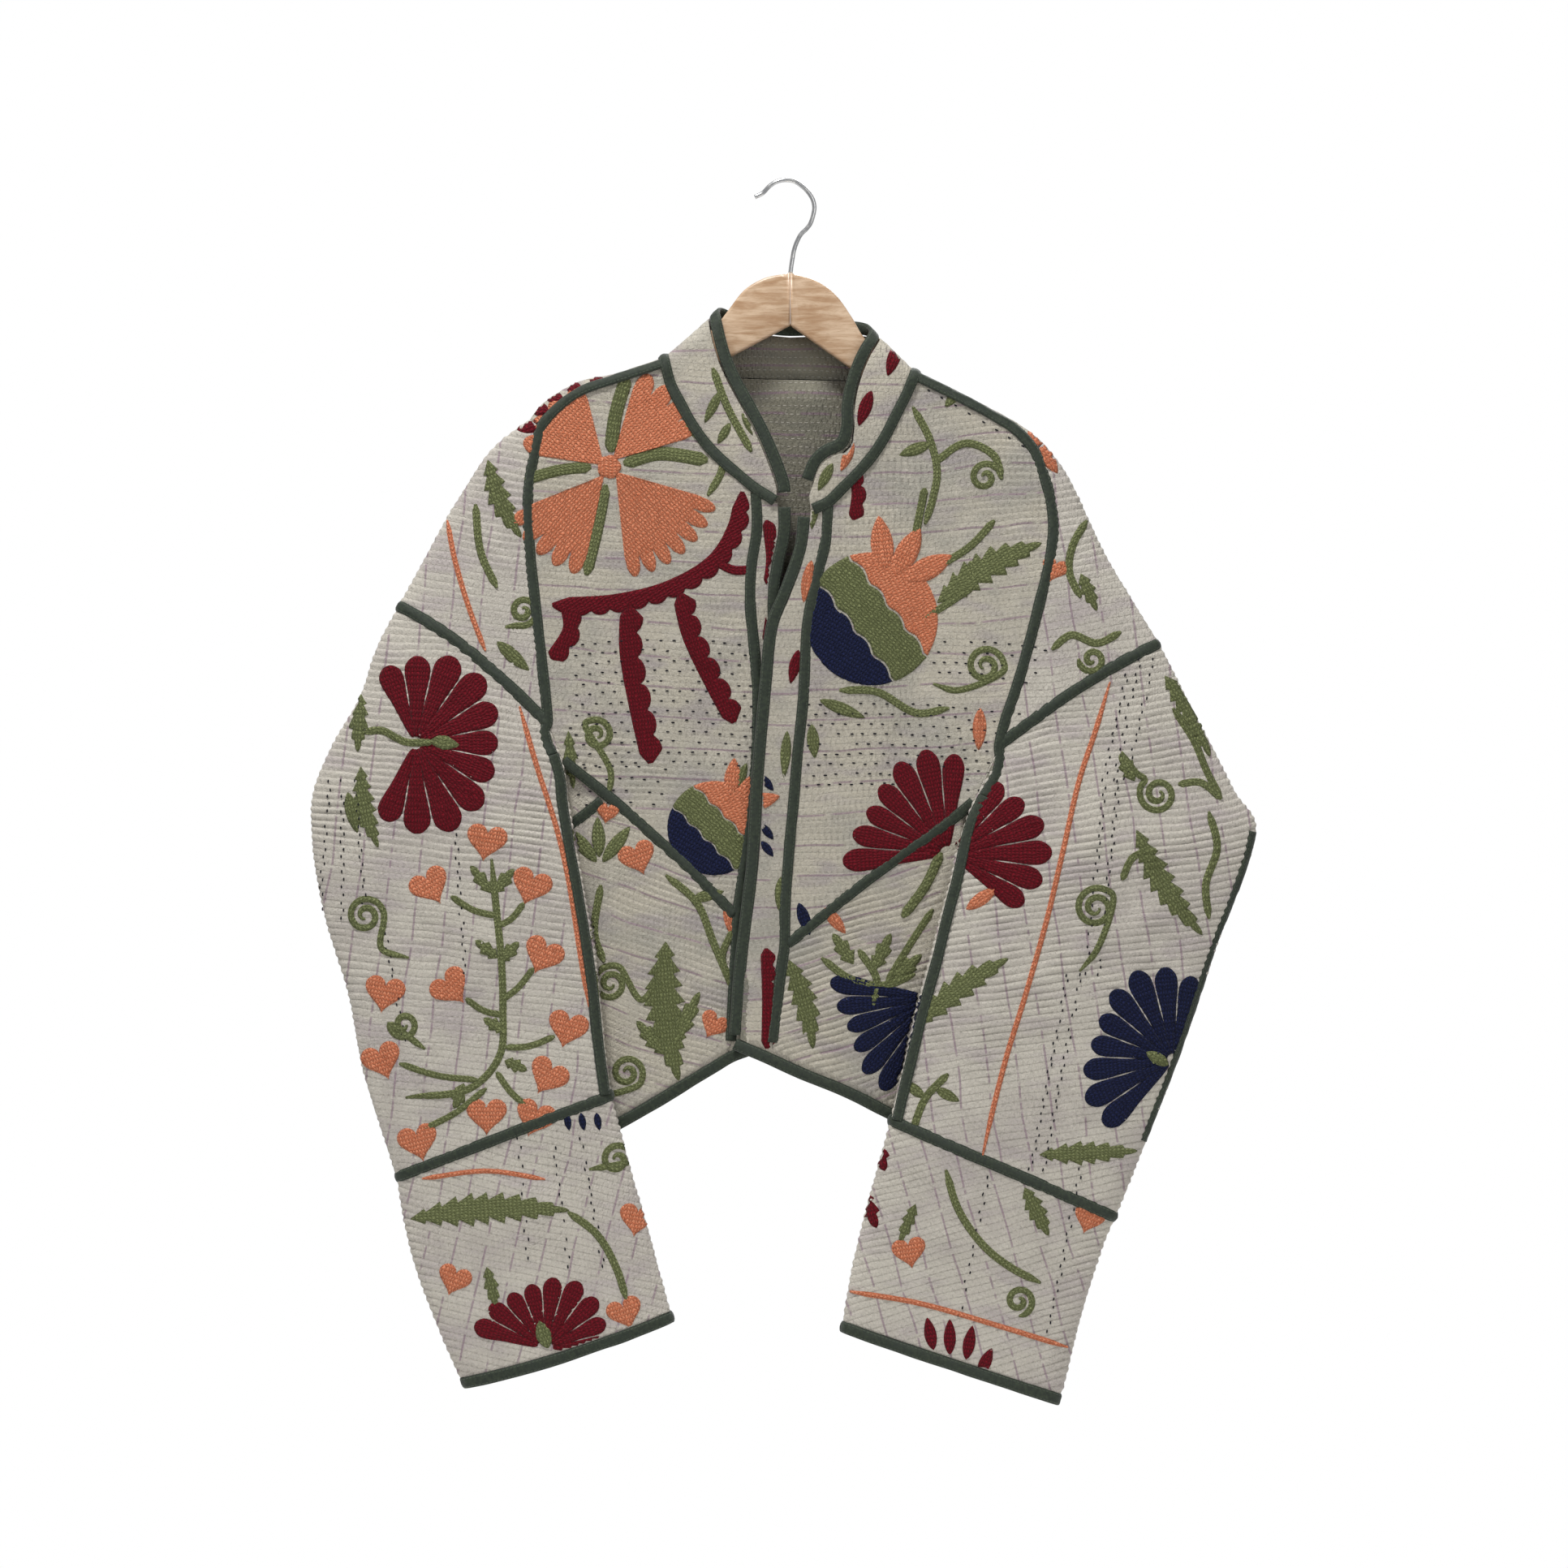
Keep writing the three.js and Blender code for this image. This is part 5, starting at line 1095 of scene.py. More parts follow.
def sleeve_bindings(side):
    left = side == "left"
    seed = 400 if left else 450
    caps = section_rows(CAP[side], CAP_ROWS, AROUND)
    rows = section_rows(SLEEVE[side], SLEEVE_ROWS, AROUND)
    cuffs = section_rows(CUFF[side], CUFF_ROWS, AROUND)
    drop = outward_of(caps, CAP_ROWS)
    binding(f"drop_seam_binding_{side}", caps[-1], drop, width=9.4, height=2.1, seed=seed)
    binding(f"cuff_seam_binding_{side}", cuffs[0], outward_of(cuffs, 0), width=9.4, height=2.3, ring=True,
            seed=seed + 5)
    run = cuffs[-1] - cuffs[-2]
    run[:, 1] = 0
    edge = cuffs[-1] + unit(run) * EDGE_HALF
    binding(f"cuff_edge_binding_{side}", edge, outward_of(cuffs, CUFF_ROWS), edge=True, ring=True,
            seed=seed + 10)
    outs = np.stack([outward_of(rows, i) for i in range(len(rows))])
    binding(f"sleeve_inner_binding_{side}", rows[OPEN_ROWS:, 1], outs[OPEN_ROWS:, 1], (0, 2),
            seed=seed + 15, height=2.8, base=1.4)
    if not left:
        line = (rows[7:15, AROUND - 1] + rows[7:15, AROUND]) / 2
        out = (outs[7:15, AROUND - 1] + outs[7:15, AROUND]) / 2
        binding("sleeve_outer_binding_right", line, out, (0, 4), width=7.8, height=3.2, base=1.9,
                seed=seed + 20)
    binding(f"back_armhole_binding_{side}", caps[1:, -1], BACK_OUT, (12, 4), height=2.6, seed=seed + 25)


def yoke_line(side):
    rows = section_rows(SLEEVE[side], SLEEVE_ROWS, AROUND)
    hole = armhole(side, 1)
    shoulder = along(HALF[side]["shoulder"], SHOULDER_PARTS)
    share = np.arange(1, OPEN_ROWS + 1)[:, None] / OPEN_ROWS
    on_sleeve = rows[1:OPEN_ROWS + 1, 0] + (rows[1:OPEN_ROWS + 1, 1] - rows[1:OPEN_ROWS + 1, 0]) * share
    line = np.vstack([shoulder, hole[1:-OPEN_ROWS], on_sleeve])
    i = np.arange(len(line))
    t = np.clip((i - SHOULDER_PARTS + 2) / 4, 0, 1)
    out = np.stack([0 * i, 0 * i - 1, 0.8 * (1 - t * t * (3 - 2 * t))], axis=1)
    for k in range(OPEN_ROWS):
        place = len(line) - OPEN_ROWS + k
        turn = outward_of(rows, k + 1)[1] - np.asarray(FRONT_OUT)
        out[place] = np.asarray(FRONT_OUT) + turn * (k + 1) / OPEN_ROWS
    return line, unit(out)


def body_bindings(side):
    half = HALF[side]
    left = side == "left"
    seed = 500 if left else 550
    _, _, diagonal = front_seams(side, 1, 1)
    upper, lower = band_seams(side, 1, UPPER_PARTS)
    band = np.vstack([upper, lower[1:]])
    yoke, out = yoke_line(side)
    binding(f"shoulder_armhole_binding_{side}", yoke, out, (1, 0), height=2.5, seed=seed)
    binding(f"front_diagonal_binding_{side}", diagonal, FRONT_OUT, (2, 4), height=2.2, seed=seed + 5)
    binding(f"band_seam_binding_{side}", band, FRONT_OUT, (3, 3), height=2.1, seed=seed + 10)
    binding(f"front_edge_binding_{side}", along(half["frontEdge"], len(band) - 1), FRONT_OUT, edge=True,
            seed=seed + 15)
    hem = np.vstack([along(half["hem"], 14), along(half["hemBand"], 2)[1:]])
    binding(f"front_hem_binding_{side}", hem, FRONT_OUT, (6, 0), edge=True, seed=seed + 20)
    if left:
        line = along([diagonal[gusset_at(side)], *half["gusset"][1:]], 6)[:4]
        binding("gusset_binding_left", line, FRONT_OUT, (6, 2), height=2.2, seed=seed + 25)


def neck_bindings():
    low, high, folds = collar_lines()
    rise = high - low
    out = unit(np.cross(rise, np.gradient(low, axis=0)))
    at = np.arange(len(low))
    behind = np.where((at > folds[1]) & (at < folds[2]), 1.0, -1.0)
    below = behind[:, None] * np.array([0, 1.0, 0])
    below[folds[1:3]] = (0, 0, 1)
    seam_out = unit(out + below)
    binding("neck_seam_binding", low + seam_out * 1.2, seam_out, (2, 2), height=2.0, seed=600)
    binding("collar_top_binding", high, out, edge=True, seed=610)


def back_hem_binding():
    curve = [*HALF["left"]["backHem"], *HALF["right"]["backHem"][-2::-1]]
    binding("back_hem_binding", along(curve, 2 * SHOULDER_PARTS + BACK_NECK_PARTS), BACK_OUT, (6, 6),
            edge=True, seed=620)


# Hanger

HANGER_THICK = 12.0
HANGER_ROUND = 2.2
WIRE_RADIUS = 1.75
ROUND_STEPS = (0, 22.5, 45, 67.5, 90)


def inside_polygon(points, outline):
    x, z = points[:, 0:1], points[:, 1:2]
    a, b = outline, np.roll(outline, -1, axis=0)
    crosses = (a[:, 1] > z) != (b[:, 1] > z)
    with np.errstate(divide="ignore", invalid="ignore"):
        at = a[:, 0] + (z - a[:, 1]) * (b[:, 0] - a[:, 0]) / (b[:, 1] - a[:, 1])
    return (crosses & (x < at)).sum(1) % 2 == 1


def filled(outline, spacing):
    """Triangles that fill an outline, with points inside it; the outline's own points come first."""
    low, high = outline.min(0), outline.max(0)
    xs = np.arange(low[0], high[0], spacing)
    zs = np.arange(low[1], high[1], spacing * 0.87)
    x, z = np.meshgrid(xs, zs)
    x = x + (np.arange(len(zs)) % 2)[:, None] * spacing / 2
    inner = np.stack([x.ravel(), z.ravel()], axis=1)
    if len(inner):
        inner = inner[inside_polygon(inner, outline)]
    if len(inner):
        gap = np.min(np.linalg.norm(inner[:, None] - outline[None], axis=2), axis=1)
        inner = inner[gap > spacing * 0.55]
    points = [Vector(p) for p in np.vstack([outline, inner]).tolist()]
    made = delaunay_2d_cdt(points, [], [list(range(len(outline)))], 1, 1e-5)
    return np.array([tuple(p) for p in made[0]]), made[2]


def inset(outline, distance):
    run = np.roll(outline, -1, axis=0) - np.roll(outline, 1, axis=0)
    run = unit(run)
    x, z = outline[:, 0], outline[:, 1]
    turn = np.sign((x * np.roll(z, -1) - np.roll(x, -1) * z).sum())
    return outline + turn * distance * np.stack([-run[:, 1], run[:, 0]], axis=1)


def make_arm(side):
    table = HANGER[side]
    t = np.linspace(0, 1, 60)
    top = catmull([(x, 0, z) for x, z in table["top"]], t)[:, [0, 2]]
    under = table["under"]
    sides = [np.linspace(a, b, 16)[:-1] for a, b in zip(under[:-1], under[1:])]
    outline = np.vstack([top, *sides, under[-1:]])
    flat = HANGER_THICK / 2 - HANGER_ROUND
    loops = [(inset(outline, HANGER_ROUND * (1 - math.cos(a))), flat + HANGER_ROUND * math.sin(a))
             for a in np.radians(ROUND_STEPS)]
    rings = [(loop, -depth) for loop, depth in loops[::-1]] + loops
    count = len(outline)
    verts = np.vstack([np.stack([loop[:, 0], np.full(count, y), loop[:, 1]], axis=1) for loop, y in rings])
    r, j = cells(len(rings) - 1, count)
    at, after = r * count + j, r * count + (j + 1) % count
    faces = np.stack([at, after, after + count, at + count], axis=1).tolist()
    faces += [list(range(count))[::-1], [(len(rings) - 1) * count + j for j in range(count)]]
    piece = make_object(f"hanger_arm_{side}", verts, outwards(verts, faces), WOOD)
    dress(piece, "hanger_wood", f"hanger_arm_{side}")


def make_hook():
    points = catmull([(x, 0, z) for x, z in HOOK], np.linspace(0, 1, 140))
    a = np.linspace(0, 2 * math.pi, 12, endpoint=False)
    section = np.stack([WIRE_RADIUS * np.cos(a), WIRE_RADIUS * np.sin(a), np.cos(a)], axis=1)
    verts, faces, _ = swept(points, np.broadcast_to((0.0, -1.0, 0.0), points.shape), section, False, 0,
                            wrinkle=0.0)
    piece = make_object("hanger_hook", verts, faces, CHROME)
    dress(piece, "hook_wire", "hanger_hook")


WOOD = wood_material()
CHROME = wire_material()


# Embroidery

RAY_START = 200  # mm in front of the jacket, or behind it


class Ground:
    """Quilted surfaces that stitches lie on. Places are pixels of the photograph, met along y from one side.
    The first few surfaces may only cover the others, and take no stitches."""

    def __init__(self, keys, sign, covers=0):
        points, faces, owners, base = [], [], [], 0
        for number, key in enumerate(keys):
            grid = SURFACES[key]
            rows, columns = grid.shape[:2]
            i, j = cells(rows - 1, columns - 1)
            at = base + i * columns + j
            faces.append(np.stack([at, at + 1, at + columns + 1, at + columns], axis=1))
            points.append(grid.reshape(-1, 3))
            owners += [number if number >= covers else -1] * len(at)
            base += rows * columns
        self.tree = BVHTree.FromPolygons(np.vstack(points).tolist(), np.vstack(faces).tolist())
        self.owners = owners
        self.sign = sign

    def meet(self, places):
        """Points, normals and owning surfaces under places in pixels; owner -1 is a miss."""
        x = (places[:, 0] - ORIGIN[0]) * PIXEL
        z = (ORIGIN[1] - places[:, 1]) * PIXEL
        points, turned, owners = np.zeros((len(x), 3)), np.zeros((len(x), 3)), np.full(len(x), -1)
        along_y = Vector((0, self.sign, 0))
        for n in range(len(x)):
            hit, normal, face, _ = self.tree.ray_cast(Vector((x[n], -RAY_START * self.sign, z[n])), along_y)
            if hit is not None:
                points[n] = hit
                turned[n] = normal if normal.y * self.sign < 0 else -normal
                owners[n] = self.owners[face]
        return points, turned, owners


THICK = 0.85  # mm that the middle of a motif stands above the cloth
RIM_THICK = 0.3  # and its rim
SUNK = 0.5  # mm that a motif's cut edge goes into the cloth
DROP = 4  # mm of depth that one triangle may span
FILL = 3.4  # pixels between the points inside a motif
STEP = 2.4  # and along a line
BLUNT = 0.9  # below 1, a leaf is broadest near its base
BEAD_SIDES = 8
BATCH = {}


def lay(ground, colour, places, faces, rim, uv, over=0.0):
    """Adds a motif: its faces laid on the cloth, with its cut edge turned down into it."""
    points, turned, owners = ground.meet(places)
    faces = np.array([f for f in faces if len(f) == 3], int)
    if not len(faces):
        return
    corner = owners[faces]
    kept = (corner[:, 0] >= 0) & (corner[:, 0] == corner[:, 1]) & (corner[:, 0] == corner[:, 2])
    depth = points[faces, 1]
    kept &= depth.max(1) - depth.min(1) < DROP
    faces = faces[kept]
    if not len(faces):
        return
    height = np.where(rim, RIM_THICK, THICK) + over
    top = points + turned * height[:, None]
    edges = np.sort(np.concatenate([faces[:, [0, 1]], faces[:, [1, 2]], faces[:, [2, 0]]]), axis=1)
    ends, counts = np.unique(edges, axis=0, return_counts=True)
    directed = {(int(a), int(b)) for f in faces for a, b in ((f[0], f[1]), (f[1], f[2]), (f[2], f[0]))}
    low = points - turned * SUNK
    count = len(points)
    walls = []
    for a, b in ends[counts == 1].tolist():
        a, b = (a, b) if (a, b) in directed else (b, a)
        walls += [[b, a, a + count], [b, a + count, b + count]]
    batch = BATCH.setdefault((ground.sign, colour), [[], [], [], 0])
    batch[0].append(np.vstack([top, low]))
    batch[1].append(np.vstack([faces, np.array(walls, int)]) + batch[3])
    batch[2].append(np.vstack([uv, uv]))
    batch[3] += 2 * count


def smooth(points, closed=False):
    """A curve through points in pixels."""
    p = np.array([(x, 0, y) for x, y in points], float)
    if closed:
        n = len(p)
        p = np.vstack([p[-2:], p, p[:3]])
        span = (2 / (n + 4), (n + 2) / (n + 4))
    else:
        span = (0, 1)
    t = np.linspace(*span, 40 * len(p))
    far = lengths(catmull(p, t))
    count = max(int(far[-1] / STEP), 6)
    where = np.interp(np.linspace(0, far[-1], count + (0 if closed else 1), endpoint=not closed), far, t)
    return catmull(p, where)[:, [0, 2]]


def run_and_side(points):
    """Unit directions along a line in pixels, and to its side."""
    run = unit(np.gradient(points, axis=0))
    return run, np.stack([-run[:, 1], run[:, 0]], axis=1)


def rotated(u, v, degrees):
    c, s = math.cos(math.radians(degrees)), math.sin(math.radians(degrees))
    return np.stack([u * c - v * s, u * s + v * c], axis=-1)


def shape(ground, colour, outline, turn=0.0, over=0.0):
    """A filled motif. turn is the way its rows of stitches run, in degrees from level."""
    places, faces = filled(np.asarray(outline, float), FILL)
    rim = np.arange(len(places)) < len(outline)
    lay(ground, colour, places, faces, rim, rotated(places[:, 0] * PIXEL, -places[:, 1] * PIXEL, -turn), over)


def line(ground, colour, points, width=9.0, over=0.0):
    """Rows of chain stitch along a line."""
    middle = smooth(points)
    _, side = run_and_side(middle)
    t = np.linspace(0, 1, len(middle))
    half = width / 2 * np.minimum(1, 0.35 + 7.8 * np.minimum(t, 1 - t))
    across = np.array([-1, -0.5, 0, 0.5, 1]) if width > 5 else np.array([-1, 0, 1])
    n = len(across)
    places = middle[:, None] + side[:, None] * (half[:, None] * across)[..., None]
    i, j = cells(len(middle) - 1, n - 1)
    a = i * n + j
    faces = np.vstack([np.stack([a, a + 1, a + n + 1], axis=1), np.stack([a, a + n + 1, a + n], axis=1)])
    rim = np.tile(np.abs(across) == 1, len(middle))
    far = lengths(middle)[:, None] * PIXEL
    uv = np.stack([far + 0 * across, half[:, None] * across * PIXEL + 1.25], axis=2).reshape(-1, 2)
    lay(ground, colour, places.reshape(-1, 2), faces, rim, uv, over)


def local(base, tip):
    """A leaf's own axes: a function from places along and across it to pixels, with its length and turn."""
    base, tip = np.asarray(base, float), np.asarray(tip, float)
    size = np.linalg.norm(tip - base)
    run = (tip - base) / size
    side = np.array([-run[1], run[0]])

    def place(t, w):
        return base + run * (np.asarray(t) * size)[..., None] + side * np.asarray(w)[..., None]
    return place, size, math.degrees(math.atan2(-run[1], run[0]))


def leaf(ground, colour, base, tip, width, teeth=0, bend=0.0, over=0.0):
    place, size, turn = local(base, tip)
    t = np.linspace(0, 1, max(int(size / 2.2), 10))
    half = width / 2 * np.sin(math.pi * t**BLUNT).clip(0) ** 0.75
    if teeth:
        half *= 0.6 + 0.6 * ((t * teeth) % 1)
    curve = bend * np.sin(math.pi * t)
    outline = np.vstack([place(t, curve + half), place(t, curve - half)[::-1][1:-1]])
    shape(ground, colour, outline, turn, over)


def heart(ground, colour, x, y, size, turn=0.0, over=0.0):
    """A small heart-shaped leaf whose tip points down at turn 0."""
    a = np.linspace(0, 2 * math.pi, max(int(size * 1.3), 18), endpoint=False)
    u = np.sin(a) ** 3
    v = -(13 * np.cos(a) - 5 * np.cos(2 * a) - 2 * np.cos(3 * a) - np.cos(4 * a)) / 16
    shape(ground, colour, (x, y) + size / 2 * rotated(u, v, turn), 90 - turn, over)


def flower_disc(ground, colour, x, y, radius, lobes, over):
    """A round motif with a scalloped edge."""
    count = max(int(radius * 2 * math.pi / 2.6), 14)
    a = np.linspace(0, 2 * math.pi, count, endpoint=False)
    r = radius * (0.88 + 0.12 * np.abs(np.cos(a * lobes / 2)))
    shape(ground, colour, np.stack([x + r * np.cos(a), y + r * np.sin(a)], axis=1), 0, over)


def fan(ground, colour, x, y, inner, outer, start, end, petals, gap):
    """Petals from a centre with slits of bare cloth between them. Angles run clockwise from the right."""
    step = (end - start) / petals
    for n in range(petals):
        a0, a1 = start + step * (n + gap), start + step * (n + 1 - gap)
        middle = math.radians((a0 + a1) / 2)
        reach = outer * (0.93 + 0.07 * math.cos(5.1 * n + x))
        side0 = [(inner, a0), (inner + 0.5 * (reach - inner), a0 - 0.01 * step),
                 (reach * 0.9, a0 + 0.04 * step)]
        side1 = [(r, a1 - (a - a0)) for r, a in side0[::-1]]
        tip = [(reach * 0.99, (a0 * 2 + a1) / 3), (reach, (a0 + a1) / 2), (reach * 0.99, (a0 + 2 * a1) / 3)]
        ring = [(x + r * math.cos(math.radians(a)), y + r * math.sin(math.radians(a)))
                for r, a in [*side0, *tip, *side1]]
        shape(ground, colour, smooth(ring, closed=True), -math.degrees(middle))


def spiral(ground, colour, x, y, radius, turns, start, tail=(), way=1):
    a = np.linspace(0, turns * 2 * math.pi, int(turns * 16))
    r = radius * (0.16 + 0.84 * a / a[-1])
    a = math.radians(start) + way * a
    line(ground, colour, [*zip(x + r * np.cos(a), y + r * np.sin(a)), *tail], 8.0)


def scalloped(ground, colour, points, width, lobes):
    """A broad line with lobes along one side, as a scalloped stem."""
    middle = smooth(points)
    run, side = run_and_side(middle)
    t = np.linspace(0, 1, len(middle))
    ends = np.minimum(1, 0.3 + 10 * np.minimum(t, 1 - t))[:, None]
    lobed = (0.55 + 0.65 * np.sqrt(np.abs(np.sin(math.pi * t * lobes))))[:, None]
    outline = np.vstack([middle + side * ends * width * 0.42,
                         (middle - side * ends * lobed * width * 0.55)[::-1]])
    shape(ground, colour, outline, -math.degrees(math.atan2(run[:, 1].mean(), run[:, 0].mean())))


def dashes(ground, corners, pitch, row_gap, arch, seed):
    """Dark running stitches in rows over a field, whose corners run clockwise from the top left."""
    rng = np.random.default_rng(seed)
    tl, tr, br, bl = (np.asarray(c, float) for c in corners)
    rows = max(int(np.linalg.norm(bl - tl) / row_gap), 1)
    columns = max(int(np.linalg.norm(tr - tl) / pitch), 1)
    spots, turns = [], []
    for r in range(rows + 1):
        v = r / max(rows, 1)
        left, right = tl + (bl - tl) * v, tr + (br - tr) * v
        run = unit(right - left)
        for c in range(columns + 1):
            u = (c + 0.5 * (r % 2)) / columns
            if u > 1 or rng.random() < 0.07:
                continue
            bow = arch * 4 * u * (1 - u)
            spots.append(left + (right - left) * u + np.array([0, -bow]) + rng.normal(0, 0.7, 2))
            turns.append(math.atan2(run[1], run[0]) + rng.normal(0, 0.06))
    if spots:
        sew(ground, np.array(spots), np.array(turns))


def dash_line(ground, top, low, pitch, seed):
    """One row of running stitches down the cloth."""
    dashes(ground, [top, low, (low[0] + 3, low[1]), (top[0] + 3, top[1])], pitch, 40, 0, seed)


def sew(ground, spots, turns):
    """Single stitches, each a small raised bead of thread."""
    points, turned, owners = ground.meet(spots)
    half_long, half_wide = 2.6 * PIXEL, 1.2 * PIXEL
    a = np.linspace(0, 2 * math.pi, BEAD_SIDES, endpoint=False)
    batch = BATCH.setdefault((ground.sign, "dash"), [[], [], [], 0])
    for p, n, turn, owner in zip(points, turned, turns, owners):
        if owner < 0:
            continue
        run = np.array([math.cos(turn), 0, -math.sin(turn)])
        run = unit(run - n * (run @ n))
        side = np.cross(n, run)
        ring = [p + run * half_long * math.cos(b) + side * half_wide * math.sin(b) for b in a]
        low = np.array(ring) - n * SUNK
        high = p + (np.array(ring) - p) * 0.72 + n * 0.6
        verts = np.vstack([low, high, p + n * THICK])
        j = np.arange(BEAD_SIDES)
        k = (j + 1) % BEAD_SIDES
        up, up_next = j + BEAD_SIDES, k + BEAD_SIDES
        tops = np.full(BEAD_SIDES, 2 * BEAD_SIDES)
        faces = np.vstack([np.stack(row, axis=1) for row in ((j, k, up_next), (j, up_next, up),
                                                             (up, up_next, tops))])
        batch[0].append(verts)
        batch[1].append(faces + batch[3])
        batch[2].append(np.stack([verts[:, 0], verts[:, 2]], axis=1))
        batch[3] += len(verts)


def slice_of_disc(ground, colour, x, y, r, turn, low, high, stitch):
    """The part of a disc between two wavy lines across it, low and high from -1 to 1 along turn."""
    def edge(at):
        reach = math.sqrt(max(1 - at * at, 0))
        q = np.linspace(-reach, reach, 26)
        wave = 0.075 * np.abs(np.sin(q * 7.0)) * (abs(at) < 0.99)
        return np.stack([at + wave, q], axis=1)
    low_edge, high_edge = edge(low), edge(high)
    a0, a1 = math.acos(max(min(high, 1), -1)), math.acos(max(min(low, 1), -1))
    arc = np.linspace(a1, a0, 14)[1:-1]
    rim = np.stack([np.cos(arc), np.sin(arc)], axis=1)
    parts = [low_edge, rim]
    if high < 0.99:
        parts.append(high_edge[::-1])
    parts.append((rim * [1, -1])[::-1])
    if low < -0.99:
        parts = parts[1:]
    p = np.vstack(parts) * r
    shape(ground, colour, (x, y) + rotated(p[:, 0], p[:, 1], turn), stitch)


def pomegranate(g, x, y, r, crown=-60, turn=-45):
    """Round fruit in three wavy bands of colour, with a toothed crown."""
    slice_of_disc(g, "coral", x, y, r, turn, 0.3, 1, 30)
    slice_of_disc(g, "olive", x, y, r, turn, -0.32, 0.27, -40)
    slice_of_disc(g, "navy", x, y, r, turn, -1, -0.35, 60)
    for tooth in (-24, 0, 24):
        a, b = math.radians(crown + tooth * 0.5), math.radians(crown + tooth)
        leaf(g, "coral", (x + r * 0.75 * math.cos(a), y + r * 0.75 * math.sin(a)),
             (x + r * 1.55 * math.cos(b), y + r * 1.55 * math.sin(b)), r * 0.34, over=0.3)


def sector(ground, colour, x, y, r, start, end, lobes):
    """A wedge of fan flower with a fringed outer edge. Angles run clockwise from the right."""
    t = np.linspace(0, 1, max(int(r * math.radians(end - start) / 2.2), 24))
    a = np.radians(start + (end - start) * t)
    reach = r * (0.8 + 0.2 * np.sqrt(np.abs(np.sin(math.pi * t * lobes))))
    outline = np.stack([x + reach * np.cos(a), y + reach * np.sin(a)], axis=1)
    shape(ground, colour, np.vstack([[[x, y]], outline]), -(start + end) / 2)


def each(motif, ground, colour, *rows):
    """A motif in one colour for each row of its numbers."""
    for row in rows:
        motif(ground, colour, *row)


def front_left(g):
    # fan flower near the shoulder
    each(sector, g, "coral", (744, 572, 104, -172, -104, 4), (754, 566, 116, -74, -16, 4),
         (758, 580, 132, 16, 84, 7), (744, 584, 128, 102, 158, 5))
    each(line, g, "olive", ([(752, 556), (758, 510), (772, 462)], 17),
         ([(768, 570), (810, 558), (872, 566)], 17), ([(728, 574), (690, 578), (646, 590)], 14),
         ([(746, 596), (736, 650), (722, 708)], 14), ([(862, 470), (884, 520), (890, 575), (872, 610)], 9.5))
    flower_disc(g, "coral", 750, 574, 15, 5, 0.6)
    each(scalloped, g, "maroon",
         ([(915, 605), (905, 650), (880, 690), (828, 722), (760, 740), (680, 745)], 22, 13),
         ([(775, 745), (774, 800), (786, 870), (802, 940)], 27, 6),
         ([(838, 730), (850, 780), (878, 840), (905, 890)], 25, 6),
         ([(700, 748), (702, 775), (680, 812)], 22, 3))
    line(g, "maroon", [(880, 690), (905, 702), (930, 700)], 11)
    for a, b in (((668, 520), (636, 528)), ((676, 504), (650, 500)), ((694, 494), (668, 480)),
                 ((716, 484), (696, 468)), ((742, 474), (726, 458))):
        leaf(g, "maroon", a, b, 17)
    each(leaf, g, "olive", ((880, 545), (840, 520), 15), ((920, 940), (902, 980), 13))
    pomegranate(g, 880, 1020, 58, crown=-50)
    spiral(g, "olive", 735, 905, 20, 1.6, 80, [(752, 950), (748, 985)], -1)
    dashes(g, [(702, 795), (926, 795), (926, 945), (702, 945)], 15.5, 11.6, 7, 11)
    dashes(g, [(705, 948), (820, 948), (812, 992), (715, 992)], 15.5, 11.6, 4, 12)


def front_right(g):
    each(line, g, "olive", ([(1125, 500), (1146, 540), (1155, 580), (1150, 612), (1140, 645)], 9.5),
         ([(1150, 570), (1190, 545), (1225, 560), (1235, 590)], 9.5),
         ([(1128, 660), (1136, 620), (1140, 600)], 10), ([(1140, 760), (1170, 742), (1200, 722)], 9),
         ([(1152, 700), (1196, 672), (1226, 640)], 9.5),
         ([(1034, 850), (1080, 852), (1130, 878), (1170, 872)], 9.5),
         ([(1160, 1050), (1140, 1092), (1112, 1130)], 12, 0.6))
    each(spiral, g, "olive", (1214, 587, 19, 1.4, 200), (1214, 820, 24, 1.7, 120, [(1180, 850), (1150, 842)]))
    each(leaf, g, "olive", ((1148, 545), (1108, 560), 15), ((1165, 500), (1190, 470), 13),
         ((1155, 742), (1284, 668), 38, 8, -8), ((1200, 720), (1196, 690), 17, 2),
         ((1010, 862), (1066, 884), 15), ((1000, 892), (1004, 934), 15))
    pomegranate(g, 1074, 762, 82, crown=-62, turn=-38)
    each(leaf, g, "coral", ((1208, 872), (1206, 924), 17), ((1268, 529), (1304, 582), 22))
    fan(g, "maroon", 1168, 1052, 10, 132, 168, 282, 7, 0.05)
    dashes(g, [(1010, 738), (1000, 738), (1000, 762), (1010, 762)], 15, 11, 0, 21)
    dashes(g, [(1150, 790), (1290, 800), (1270, 842), (1150, 828)], 15.5, 11.6, 4, 22)
    dashes(g, [(996, 868), (1256, 880), (1206, 975), (996, 968)], 15.5, 11.6, 6, 23)
    dashes(g, [(1120, 446), (1240, 500), (1262, 548), (1128, 470)], 15.5, 11.6, 0, 24)
    scalloped(g, "maroon", [(1040, 560), (1056, 600), (1052, 640)], 17, 4)


